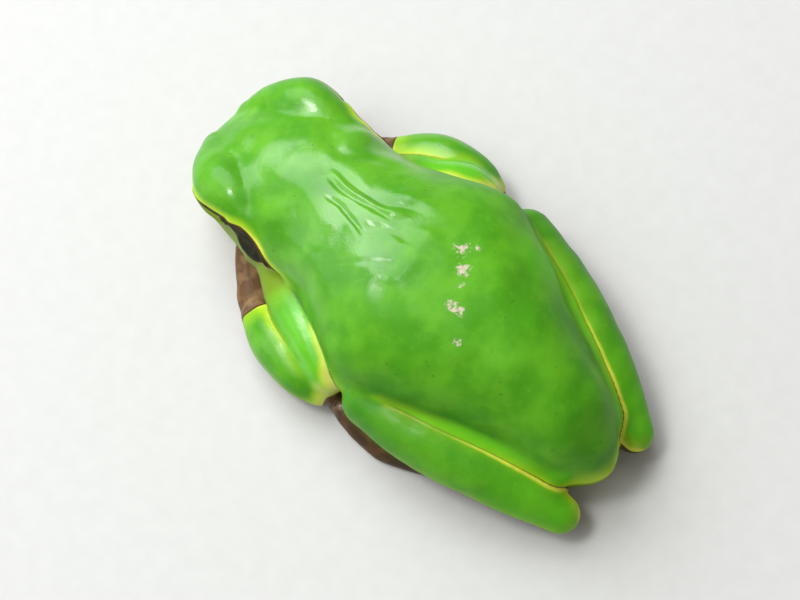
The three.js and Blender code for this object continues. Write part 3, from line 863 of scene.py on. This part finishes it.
wetSpots = [  # forward, side, reach, change of the wetness there
    (25.6, 3.0, 1.5, -0.28), (28.8, 4.4, 1.3, -0.22), (30.2, -3.6, 1.5, -0.10), (28.0, 0.4, 2.0, 0.45),
    (25.4, -1.6, 1.5, 0.35), (22.3, -3.3, 1.7, 0.30), (21.9, 0.1, 2.0, 0.50), (22.4, 2.0, 1.3, 0.25),
    (25.3, -3.5, 1.1, 0.60), (22.0, 3.7, 1.7, 0.20), (18.4, -2.4, 1.3, 0.16), (19.0, 4.8, 1.6, 0.06),
    (27.2, 3.4, 0.9, -0.20), (29.06, -3.36, 0.45, 0.80), (28.7, 4.15, 0.28, 0.80), (19.0, 1.4, 2.0, 0.22),
    (17.4, 2.0, 1.5, 0.16), (17.2, -1.6, 1.8, 0.14), (23.4, 3.4, 1.2, 0.12), (19.1, 2.3, 1.0, 0.25),
    (17.8, 3.1, 0.9, 0.25),
]
toeGlint = (15.8, 8.75, 0.45, 0.8)
scuffSpots = [  # forward, side, size
    (14.7, -1.8, 0.62), (14.05, -2.5, 0.3), (13.65, -0.75, 0.62), (13.1, 0.1, 0.3), (12.7, 1.35, 0.5),
    (12.1, 1.3, 0.5), (10.95, 2.7, 0.34),
]


def maskDepth(f, z, rim):  # how far inside the dark mask, or the thin dark lines behind and before it
    parts = {
        "maskSpan": np.minimum(-0.02 - rim, z - level(marks["maskEdge"], f)),
        "lineSpan": 0.11 - np.abs(rim + 0.25),
        "loreSpan": (0.36 * ease(33.3 - f, 0, 1.8) - 0.16 - np.abs(rim + 0.3)
                     - 0.5 * ease(30.9 - f, 0, 1.4)),
    }
    depth = np.full(len(f), -1.0)
    for span, part in parts.items():
        start, end = marks[span]
        depth = np.where((f > start) & (f < end), np.maximum(depth, part), depth)
    return depth


def wetness(f, s):
    wet = 0.30 * ease(f, 15.5, 21)
    for forward, across, reach, change in wetSpots:
        wet += change * hill(np.hypot(f - forward, s - across), reach)
    return np.clip(wet, 0, 1)


def bodyMarks(p, shankGap):  # shankGap is how much nearer the body is than the shank
    f, s, z = p.T
    rim = z - level(marks["bodyEdge"], f)
    onFace, rear = ease(f, 22.0, 24.5), ease(4.5 - f, 0, 3)
    return {
        **plainMarks,
        "rim": np.minimum(rim, shankGap - 0.12 + ease(f, 13.2, 14.2)),
        "gold": (0.07 + 0.15 * hill(f - 25.5, 0.7)) * onFace * ease(33.2 - f, 0, 1.6) + 0.10 * rear,
        "dark": (0.16 + 0.03 * ease(f, 27.8, 28.6)) * onFace * ease(33.4 - f, 0, 1),
        "lemon": 0.3 + 0.7 * rear + 0.45 * onFace,
        "spread": 1 + 0.9 * rear - 0.55 * onFace,
        "soft": 1 + 5 * rear,
        "mask": maskDepth(f, z, rim),
        "belly": ease(-rim - 1.9 * onFace, 0.9, 2.6) * (1 - 0.35 * onFace),
        "wet": wetness(f, s) * (0.15 + 0.85 * ease(rim, -0.3, 0.3)),
        # painted light brightens the right rear flank
        "glow": 0.6 * ease(-s, 3.2, 5.5) * ease(14 - f, 0, 3),
    }


def met(rim, against, least, keep):  # the green stops where the limb meets its neighbour, unless kept there
    return gentleMin(rim, against + least + 0.8 * keep, 0.1)


def limbMarks(name, part, against):  # against is how much nearer the limb is than each of its neighbours
    share, angle = part["share"], part["angle"]
    if name not in marks["patches"]:
        onFoot = name in ("sole", "tarsus") or name.startswith("toe")
        return {**plainMarks, "brown": 1, "umber": int(onFoot)}
    patch = marks["patches"][name]
    inner, outer = along(patch["edges"], share).T
    around = np.minimum(angle - inner, outer - angle) * np.pi / 180 * part["radius"]
    ends = np.minimum(share - patch["ends"][0], patch["ends"][1] - share) * part["length"]
    rim = gentleMin(around, ends, 0.5)
    found = {**plainMarks, "belly": ease(-rim, 1.2, 2.6) * 0.7}
    if name == "shank":
        inside = ease(-angle, -10, 30)
        rim = met(rim, against["thigh"], 0.4, ease(0.16 - share, 0, 0.1))
        found["gold"] = 0.08 + 0.22 * ease(share, 0.75, 0.95) * inside
        found["lemon"] = 0.22 + 0.65 * ease(share, 0.5, 0.95) * inside
        # painted light toward the heel, painted shade at the front of the shank
        found["glow"] = 0.3 * ease(share, 0.5, 0.9) - 0.4 * ease(0.45 - share, 0, 0.3)
        found.update(dark=0.08, brown=0.85, umber=0.7, wet=0.06)
    if name == "thigh":
        rim = met(rim, against["shank"], 0.35, ease(share, 0.84, 0.94))
        found["lemon"] = 0.3 + 0.65 * ease(0.45 - share, 0, 0.35)
        found["rust"] = ease(angle, -20, 20)
        # painted light brightens the thigh
        found.update(wet=0.04, glow=0.8)
    if name == "forearm":
        inside = ease(-angle, -20, 20)
        rim = met(rim, against["upperArm"], 0.3, ease(0.35 - share, 0, 0.3))
        found["gold"] = 0.06 + 0.08 * inside * ease(share, 0.3, 0.6)
        found["dark"] = 0.10 * ease(share, 0.3, 0.5)
        found["pale"] = 0.85 * ease(-share, 0, 0.16)
        found["wet"] = 0.09 + 0.36 * hill(share - 0.6, 0.24)
        wrist = 0.85 * inside * ease(share, 0.5, 0.8)
        found["lemon"] = 0.4 + 0.6 * np.maximum(wrist, ease(0.2 - share, 0, 0.2))
        found["spread"] = 1 + 0.5 * inside
        ends = np.maximum(ease(share, 0.72, 0.92), ease(-share, 0, 0.08))
        found["brown"] = np.maximum(ends, 0.5 * ease(angle, 40, 90))
    if name == "upperArm":
        rim = met(rim, against["forearm"], 0.35, ease(share, 0.6, 0.8))
        rim = met(rim, against["body"], 0.35, ease(0.5 - share, 0, 0.2))
        found["soft"] = 1 + 9 * ease(0.5 - share, 0, 0.15)
        found["wet"] = 0.04 + 0.16 * ease(share, 0.2, 0.45) + 0.60 * hill(share - 0.68, 0.25)
        found["lemon"] = 0.2 + 0.8 * ease(share, 0.4, 0.8) * ease(-angle, -10, 30)
        found["pale"] = 0.85 * ease(share, 0.94, 1.12)
        # painted light brightens the upper arm from its middle on
        found["glow"] = 0.6 * ease(share, 0.25, 0.5)
        found["brown"] = 0.25 * ease(share, 0.6, 1)
    return {**found, "rim": rim}


blend = {"width": 0.09, "far": 3.0}  # millimetres over which the marks of touching parts run into each other


def blendedMarks(p):  # every mark as a mean over the parts near each point, the nearest counting most
    found = {key: nearBar(p, *bar) for key, bar in bars.items()}
    gaps = {key: gapOver(len(p), part, blend["far"]) for key, part in found.items()}
    gapBody = np.min([bodyGap(p), gaps["brow", "left"], gaps["brow", "right"]], axis=0)
    least = np.min([gapBody, *gaps.values()], axis=0)
    shankGap = np.minimum(gaps["shank", "left"], gaps["shank", "right"])
    total = np.exp(-(gapBody - least) / blend["width"])
    sums = {mark: values * total for mark, values in bodyMarks(p, shankGap - gapBody).items()}
    for (name, sideName), part in found.items():
        if name == "brow":
            continue
        near = part["near"]
        against = {other: gaps[other, sideName][near] - part["gap"] for other in marks["patches"]}
        against["body"] = gapBody[near] - part["gap"]
        share = np.exp(-(part["gap"] - least[near]) / blend["width"])
        for mark, values in limbMarks(name, part, against).items():
            sums[mark][near] += values * share
        total[near] += share
    return {mark: values / total for mark, values in sums.items()}


def markings(mesh):
    p = pointsOf(mesh)
    f, s, z = p.T
    found = blendedMarks(p)
    forward, across, reach, change = toeGlint
    found["wet"] += change * hill(np.hypot(f - forward, s - across), reach)
    found["crease"], (found["goldIn"], found["goldOut"], found["creaseShade"], found["creamIn"]) = creaseAt(p)
    found["scuff"] = np.max([hill(np.hypot(f - forward, s - across), size) * (z > 8)
                             for forward, across, size in scuffSpots], axis=0)
    # painted shade along the valley between thigh and trunk
    found["valeShade"] = np.zeros(len(p))
    for rows in bothSides(seat["path"]):
        distance, share = toPath(p, rows)
        found["valeShade"] = np.maximum(found["valeShade"], hill(distance, seat["shade"]) * tapered(share, 0.3))
    # painted shade: how far each point lies below its smoothed neighbours, so hollows and creases are
    # darkened
    found["hollow"] = ((relaxed(p, edgesOf(mesh), 14) - p) * normalsOf(mesh)).sum(1)
    for name, values in found.items():
        floatAttribute(mesh, name, values)


def smoothShaded(mesh):
    mesh.polygons.foreach_set("use_smooth", [True] * len(mesh.polygons))


markings(skinMesh)
report("markings laid on")

setPoints(skinMesh, toFrame(pointsOf(skinMesh)))
skinMesh.flip_normals()
smoothShaded(skinMesh)
skin = putIn("skin", skinMesh)


# Materials
class Shades(Nodes):  # the shader nodes of one material
    def __init__(self, name):
        self.material = bpy.data.materials.new(name)
        self.material.use_nodes = True
        super().__init__(self.material.node_tree)

    def surface(self, **inputs):
        self.fill(self.tree.nodes["Principled BSDF"], inputs)
        return self.material

    def mark(self, name):
        return self.new("ShaderNodeAttribute", {"attribute_name": name}).outputs["Fac"]

    def noise(self, scale, detail=3.0, rough=0.5, at=None):
        place = self.new("ShaderNodeTexCoord").outputs["Object"]
        if at:
            place = self.new("ShaderNodeMapping", Vector=place, Location=at)
        return self.new("ShaderNodeTexNoise", Vector=place, Scale=scale, Detail=detail,
                        Roughness=rough).outputs["Fac"]

    def ease(self, value, low, high, least=0.0, most=1.0):
        node = self.new("ShaderNodeMapRange", {"interpolation_type": "SMOOTHSTEP"})
        for socket, given in zip(node.inputs, (value, low, high, least, most)):
            self.give(socket, given)
        return node.outputs[0]

    def mix(self, share, a, b):
        node = self.new("ShaderNodeMix", {"data_type": "RGBA"})
        for i, given in ((0, share), (6, a), (7, b)):
            self.give(node.inputs[i], given)
        return node.outputs[2]


skinLook = {
    # leafShade is a deeper green used only as painted shade
    "leaf": (0.063, 0.288, 0.008), "leafLight": (0.107, 0.374, 0.013), "leafShade": (0.028, 0.165, 0.012),
    "headTint": (0.140, 0.382, 0.026), "lemon": (0.480, 0.720, 0.020), "gold": (0.760, 0.770, 0.075),
    "glow": (0.140, 0.600, 0.012), "pale": (0.640, 0.680, 0.140), "valeShade": (0.020, 0.165, 0.008),
    "fleck": (0.050, 0.110, 0.008), "olive": (0.165, 0.275, 0.010), "cream": (0.640, 0.560, 0.300),
    "brown": (0.125, 0.062, 0.024), "brownPale": (0.270, 0.165, 0.075), "umber": (0.050, 0.028, 0.012),
    # line is the colour of the dark lines and also of the painted shade in hollows and creases
    "rust": (0.330, 0.160, 0.020), "scuff": (0.640, 0.500, 0.430), "line": (0.040, 0.018, 0.008),
    "mask": (0.020, 0.021, 0.012), "maskPale": (0.048, 0.044, 0.018), "maskEdge": (0.130, 0.056, 0.012),
    "maskRim": (0.190, 0.280, 0.060),
    "roughDry": 0.46, "roughWet": 0.30, "coatRough": 0.13, "bend": 1.22, "coatBend": 1.6,
    "poreDeep": 0.00004, "poreStrength": 0.35, "underWeight": 0.12, "underReach": (0.5, 0.9, 0.2),
    "underScale": 0.0006,
}


def greenSkin(m, rim, look):  # leaf green with painted shade in hollows and in the thigh's valley, painted light and shade on some parts, its fade to lemon and its gold rim
    green = m.mix(m.ease(m.noise(420, 4), 0.35, 0.68), look["leaf"], look["leafLight"])
    tint = m.ease(m.noise(1700, 3, 0.6, (0.3, 0.1, 0.2)), 0.52, 0.75, 0, 0.35)
    green = m.mix(tint, green, look["headTint"])
    # painted shade: hollows and creases turn deeper green
    green = m.mix(m.ease(m.mark("hollow"), 0.02, 0.13, 0, 0.9), green, look["leafShade"])
    fleck = m.ease(m.noise(2700, 1, 0.4, (0.2, 0.7, 0.4)), 0.74, 0.81)
    green = m.mix(m.times(fleck, 0.55), green, look["fleck"])
    # painted shade in the valley where the thigh meets the trunk
    green = m.mix(m.times(m.mark("valeShade"), 0.6), green, look["valeShade"])
    glow = m.mark("glow")  # painted light where it's positive; where it's negative, painted shade makes the green deeper instead
    green = m.mix(m.times(glow, -1.0), m.mix(glow, green, look["glow"]), look["leafShade"])
    fade = m.ease(m.math("DIVIDE", rim, m.mark("spread")), 1.25, 0.05)
    green = m.mix(m.times(fade, m.mark("lemon")), green, look["lemon"])
    gold = m.mark("gold")
    inGold = m.times(m.ease(m.minus(gold, rim), -0.12, 0.12, 0, 0.92), m.ease(gold, 0.03, 0.12))
    green = m.mix(inGold, green, look["gold"])
    return m.mix(m.mark("pale"), green, look["pale"])


def lowerSkin(m, rim, mask, inMask, look):  # olive, cream and brown under the rim with painted shade in its hollows, its dark line and the mask
    under = m.mix(m.mark("belly"), look["olive"], look["cream"])
    under = m.mix(m.mark("rust"), under, look["rust"])
    brown = m.mix(m.ease(m.noise(900, 4), 0.42, 0.70), look["brown"], look["brownPale"])
    umber = m.mix(m.ease(m.noise(900, 4), 0.42, 0.75), look["umber"], look["brown"])
    under = m.mix(m.mark("brown"), under, m.mix(m.mark("umber"), brown, umber))
    # painted shade: hollows below the rim darken toward the line colour
    under = m.mix(m.ease(m.mark("hollow"), 0.02, 0.16, 0, 0.7), under, look["line"])
    under = m.mix(m.ease(mask, -0.25, -0.11), under, look["maskRim"])
    dark = m.mark("dark")
    inLine = m.times(m.ease(m.plus(rim, dark), -0.05, 0.06), m.ease(dark, 0.02, 0.08))
    under = m.mix(inLine, under, look["line"])
    tone = m.mix(m.ease(m.noise(1300, 4, 0.6), 0.42, 0.68), look["mask"], look["maskPale"])
    return m.mix(inMask, under, m.mix(m.ease(mask, 0.20, 0.0), tone, look["maskEdge"]))


def creaseOver(m, colour, wobble, look):  # gold and cream lines along the creases of the limbs, and a dark line of painted shade in them
    crease = m.plus(m.mark("crease"), m.times(wobble, 0.4))
    for name, within in (("goldIn", crease), ("goldOut", m.times(crease, -1.0))):
        width = m.mark(name)
        here = m.times(m.ease(within, -0.04, 0.02), m.ease(width, 0.03, 0.12))
        line = m.times(m.ease(m.minus(width, within), -0.13, 0.13, 0, 0.9), here)
        colour = m.mix(line, colour, look["gold"])
    cream = m.mark("creamIn")
    here = m.times(m.ease(crease, -0.03, 0.05), m.ease(cream, 0.05, 0.2, 0, 0.9))
    for extra, tone in ((0.22, "lemon"), (0.0, "pale")):
        edge = m.minus(m.plus(cream, extra), crease)
        colour = m.mix(m.times(m.ease(edge, -0.26, 0.34), here), colour, look[tone])
    # painted shade: a dark line along the bottom of the crease
    dark = m.mark("creaseShade")
    away = m.math("ABSOLUTE", m.plus(crease, m.times(dark, 0.6)))
    line = m.times(m.ease(m.minus(dark, away), -0.06, 0.03), m.ease(dark, 0.02, 0.08))
    return m.mix(m.times(line, 0.75), colour, look["line"])


def scuffOver(m, colour, look):  # pale speckles where the back is scuffed
    scuff = m.mark("scuff")
    speckle = m.times(m.minus(m.noise(4200, 4, 0.7), 0.5), 2.0)
    grains = m.times(m.ease(m.plus(m.times(scuff, 0.8), speckle), 0.45, 0.85), 0.9)
    return m.mix(m.times(grains, m.ease(scuff, 0.12, 0.35)), colour, look["scuff"])


def skinMaterial():
    look, m = skinLook, Shades("frog skin")
    wobble = m.times(m.minus(m.noise(1500, 3), 0.5), 0.10)
    rim = m.plus(m.mark("rim"), wobble)
    mask = m.plus(m.mark("mask"), wobble)
    inMask = m.ease(mask, -0.06, 0.05)
    overRim = m.ease(m.math("DIVIDE", rim, m.mark("soft")), -0.03, 0.05)
    colour = m.mix(overRim, lowerSkin(m, rim, mask, inMask, look), greenSkin(m, rim, look))
    colour = scuffOver(m, creaseOver(m, colour, wobble, look), look)
    pores = m.plus(m.noise(6500, 3, 0.6), m.times(m.noise(1100, 3, 0.5), 1.6))
    bump = m.new("ShaderNodeBump", Height=pores, Strength=look["poreStrength"], Distance=look["poreDeep"])
    wet = m.times(m.mark("wet"), m.minus(1.0, inMask))
    rough = m.ease(wet, 0.1, 0.4, look["roughDry"], look["roughWet"])
    rough = m.plus(rough, m.times(m.minus(m.noise(800, 3), 0.5), 0.16))
    rough = m.plus(rough, m.times(inMask, 0.3))
    return m.surface(
        Base_Color=colour, Roughness=rough, Normal=bump, IOR=look["bend"],
        Coat_Weight=wet, Coat_Normal=bump, Coat_Roughness=look["coatRough"], Coat_IOR=look["coatBend"],
        Subsurface_Weight=look["underWeight"], Subsurface_Radius=look["underReach"],
        Subsurface_Scale=look["underScale"])


skinMesh.materials.clear()
skinMesh.materials.append(skinMaterial())


# Eyeballs behind the lids
eyeLook = {"rings": 32, "segments": 48, "pupilLong": 0.30, "pupilHigh": 0.085, "irisEdge": 1.12,
           "pupil": (0.004, 0.003, 0.003), "pupilRing": (0.75, 0.5, 0.12), "iris": (0.42, 0.24, 0.06),
           "irisDark": (0.08, 0.04, 0.015), "white": (0.18, 0.16, 0.12), "gazeForward": 0.12, "gazeUp": 0.0}


def eyeMaterial():
    m = Shades("frog eye")
    pupil = m.mark("pupil")
    iris = m.mix(m.ease(m.noise(5200, 4, 0.7), 0.38, 0.62), eyeLook["irisDark"], eyeLook["iris"])
    iris = m.mix(m.ease(pupil, 1.35, 1.05), iris, eyeLook["pupilRing"])
    colour = m.mix(m.ease(pupil, 1.03, 0.97), iris, eyeLook["pupil"])
    edge = eyeLook["irisEdge"]
    colour = m.mix(m.ease(m.mark("fromAxis"), edge, edge + 0.1), colour, eyeLook["white"])
    return m.surface(Base_Color=colour, Roughness=0.12, Coat_Weight=1.0, Coat_Roughness=0.02)


def makeEyeball(sideName, eye, material):
    axis = np.array([eyeLook["gazeForward"], sides[sideName]["sign"], eyeLook["gazeUp"]])
    axis /= np.linalg.norm(axis)
    turn = np.linspace(0, math.pi, eyeLook["rings"] + 2)[1:-1, None, None]
    angle = np.linspace(0, 2 * math.pi, eyeLook["segments"], endpoint=False)[:, None]
    ahead = np.cross(axis, [0, 0, 1])
    above = np.cross(ahead, axis)
    spokes = ahead * np.cos(angle) + above * np.sin(angle)
    points, faces = gridFaces(axis * np.cos(turn) + spokes[None] * np.sin(turn))
    points /= np.linalg.norm(points, axis=1)[:, None]
    mesh = meshFrom(f"eyeball {sideName}", toFrame(eye + points * eyeRadius), faces)
    bm = bmesh.new()
    bm.from_mesh(mesh)
    bmesh.ops.recalc_face_normals(bm, faces=bm.faces)
    bm.to_mesh(mesh)
    bm.free()
    offAxis = np.arccos(np.clip(points @ axis, -1, 1))
    pupil = np.hypot(points @ ahead / eyeLook["pupilLong"], points @ above / eyeLook["pupilHigh"])
    floatAttribute(mesh, "fromAxis", offAxis)
    floatAttribute(mesh, "pupil", pupil + 9 * (offAxis > 1.5))  # only on the outward half
    smoothShaded(mesh)
    mesh.materials.append(material)
    piece = putIn(f"eyeball_{sideName}", mesh)
    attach(piece, "root")
    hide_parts(f"eye_{sideName}")


eyeShade = eyeMaterial()
for sideName, eye in zip(("left", "right"), eyes):
    makeEyeball(sideName, eye, eyeShade)


# The fine grains of the belly and throat
grain = {"apart": 0.00027, "size": 0.00012, "uneven": (0.7, 1.15), "flat": 0.35, "sink": 0.3, "density": 6e7,
         "clear": 0.0003, "least": 0.3, "seed": 4, "segments": 6, "rings": 4, "pale": (0.70, 0.64, 0.42)}


def grainTree():
    tree = Grower("belly grains", {"Apart": "Float", "Size": "Float", "Flatness": "Float", "Density": "Float",
                                   "Sink": "Float", "Seed": "Int"})
    given, share = tree.given, tree.stored("grainy")
    scatter = tree.new("GeometryNodeDistributePointsOnFaces", {"distribute_method": "POISSON"},
                       Mesh=given["Geometry"], Selection=tree.above(share, grain["least"]),
                       Distance_Min=given["Apart"], Density_Max=given["Density"], Seed=given["Seed"])
    drop = tree.new("ShaderNodeCombineXYZ", Z=tree.times(given["Sink"], -1))
    sunk = tree.new("GeometryNodeTransform", Geometry=tree.ball(grain["segments"], grain["rings"]),
                    Translation=drop)
    uneven = tree.new("FunctionNodeRandomValue", Seed=given["Seed"])
    limits = [socket for socket in uneven.inputs if socket.type == "VALUE" and socket.enabled]
    for socket, limit in zip(limits, grain["uneven"]):
        socket.default_value = limit
    wide = tree.times(tree.times(given["Size"], share), uneven)
    size = tree.new("ShaderNodeCombineXYZ", X=wide, Y=wide, Z=tree.times(wide, given["Flatness"]))
    return tree.finish(tree.new("GeometryNodeInstanceOnPoints", Points=scatter, Instance=sunk,
                                Rotation=scatter.outputs["Rotation"], Scale=size))


def bellyMaterial():
    m = Shades("belly grains")
    tone = m.mix(m.ease(m.noise(700, 2), 0.35, 0.65), skinLook["cream"], grain["pale"])
    return m.surface(Base_Color=tone, Roughness=0.45)


def makeGrains():
    bellyShare = np.empty(len(skinMesh.vertices), np.float32)
    skinMesh.attributes["belly"].data.foreach_get("value", bellyShare)
    clear = pointsOf(skinMesh)[:, 2] > grain["clear"]
    floatAttribute(skinMesh, "grainy", ease(bellyShare, 0.5, 0.8) * clear)
    mesh = grainTree().grow(putIn("seedbed", skinMesh), {
        "Apart": grain["apart"], "Size": grain["size"], "Flatness": grain["flat"],
        "Density": grain["density"], "Sink": grain["sink"], "Seed": grain["seed"],
        "Material": bellyMaterial()})
    points = pointsOf(mesh)
    points[:, 2] = np.maximum(points[:, 2], 0)
    setPoints(mesh, points)
    smoothShaded(mesh)
    grains = putIn("belly_grains", mesh)
    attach(grains, "root")
    report(f"{len(mesh.polygons)} faces of belly grain")


makeGrains()
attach(skin, "root")
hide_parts(*[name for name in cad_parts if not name.startswith("eye_")])
report("eyes and skin finished")


# Camera, light and floor
view = {"lean": 14.0, "aside": 14.0, "turn": 40.75, "distance": 150.0, "acrossAtFrog": 50.0,
        "target": (17.0, 1.377, 4.0)}
lights = {  # the way to it (forward, side, up), distance and width in metres, brightness of its face, colour
    "window": ((0.70, -0.14, 0.70), 0.30, 0.28, 4.8, (0.94, 0.96, 1)),
    "lamp": ((0.33, 0.22, 0.92), 0.40, 0.10, 21, (1, 1, 1)),
    "high window": ((0.33, 0.42, 0.84), 0.40, 0.13, 6, (0.96, 0.98, 1)),
    "side window": ((0.66, 0.62, 0.40), 0.30, 0.20, 1.6, (0.92, 0.96, 1)),
    "skylight": ((0.36, -0.26, 0.90), 0.36, 0.24, 1.0, (0.94, 0.97, 1)),
    "left skylight": ((0.08, 0.66, 0.75), 0.34, 0.15, 1.6, (0.94, 0.97, 1)),
}
room = {"colour": (1, 0.97, 0.88, 1), "strength": 0.26, "paper": (0.58, 0.58, 0.56),
        "paperLight": (0.63, 0.63, 0.61), "paperRough": 0.8}


def inFrame(vector):
    return Vector((vector[1], -vector[0], vector[2]))


def makeCamera():
    lean, aside, turn = (math.radians(view[k]) for k in ("lean", "aside", "turn"))
    onward = np.array([math.cos(lean), math.sin(lean) * math.sin(aside), math.sin(lean) * math.cos(aside)])
    leftward = np.array([0, math.cos(aside), -math.sin(aside)])
    backward = np.cross(onward, leftward)
    right = -math.cos(turn) * onward - math.sin(turn) * leftward
    up = math.sin(turn) * onward - math.cos(turn) * leftward
    data = bpy.data.cameras.new("camera")
    data.lens = data.sensor_width * view["distance"] / view["acrossAtFrog"]
    data.clip_start = 0.01
    camera = bpy.data.objects.new("camera", data)
    place = toFrame(np.array(view["target"]) + backward * view["distance"])[0]
    axes = Matrix((inFrame(right), inFrame(up), inFrame(backward))).transposed()
    camera.matrix_world = Matrix.Translation(Vector(place)) @ axes.to_4x4()
    bpy.context.scene.collection.objects.link(camera)
    bpy.context.scene.camera = camera


def makeLight(name, toward, distance, size, radiance, colour):
    data = bpy.data.lights.new(name, "AREA")
    data.shape = "DISK"
    data.size = size
    data.energy = radiance * math.pi * math.pi * (size / 2) ** 2
    data.color = colour
    light = bpy.data.objects.new(name, data)
    away = inFrame(toward).normalized()
    light.location = (cadBox[0] + cadBox[1]) / 2 + away * distance
    light.rotation_mode = "QUATERNION"
    light.rotation_quaternion = away.to_track_quat("Z", "Y")
    bpy.context.scene.collection.objects.link(light)


def makeRoom():
    world = bpy.data.worlds.new("room")
    world.use_nodes = True
    background = world.node_tree.nodes["Background"]
    background.inputs["Color"].default_value = room["colour"]
    background.inputs["Strength"].default_value = room["strength"]
    bpy.context.scene.world = world
    corners = [(-1, -1, 0), (1, -1, 0), (1, 1, 0), (-1, 1, 0)]
    floor = putIn("floor", meshFrom("floor", corners, [[0, 1, 2, 3]]))
    m = Shades("pale floor")
    tone = m.mix(m.noise(900, 2), room["paper"], room["paperLight"])
    floor.data.materials.append(m.surface(Base_Color=tone, Roughness=room["paperRough"]))


makeCamera()
for name, settings in lights.items():
    makeLight(name, *settings)
makeRoom()
bpy.context.scene.view_settings.view_transform = "Standard"

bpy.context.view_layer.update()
report("done")
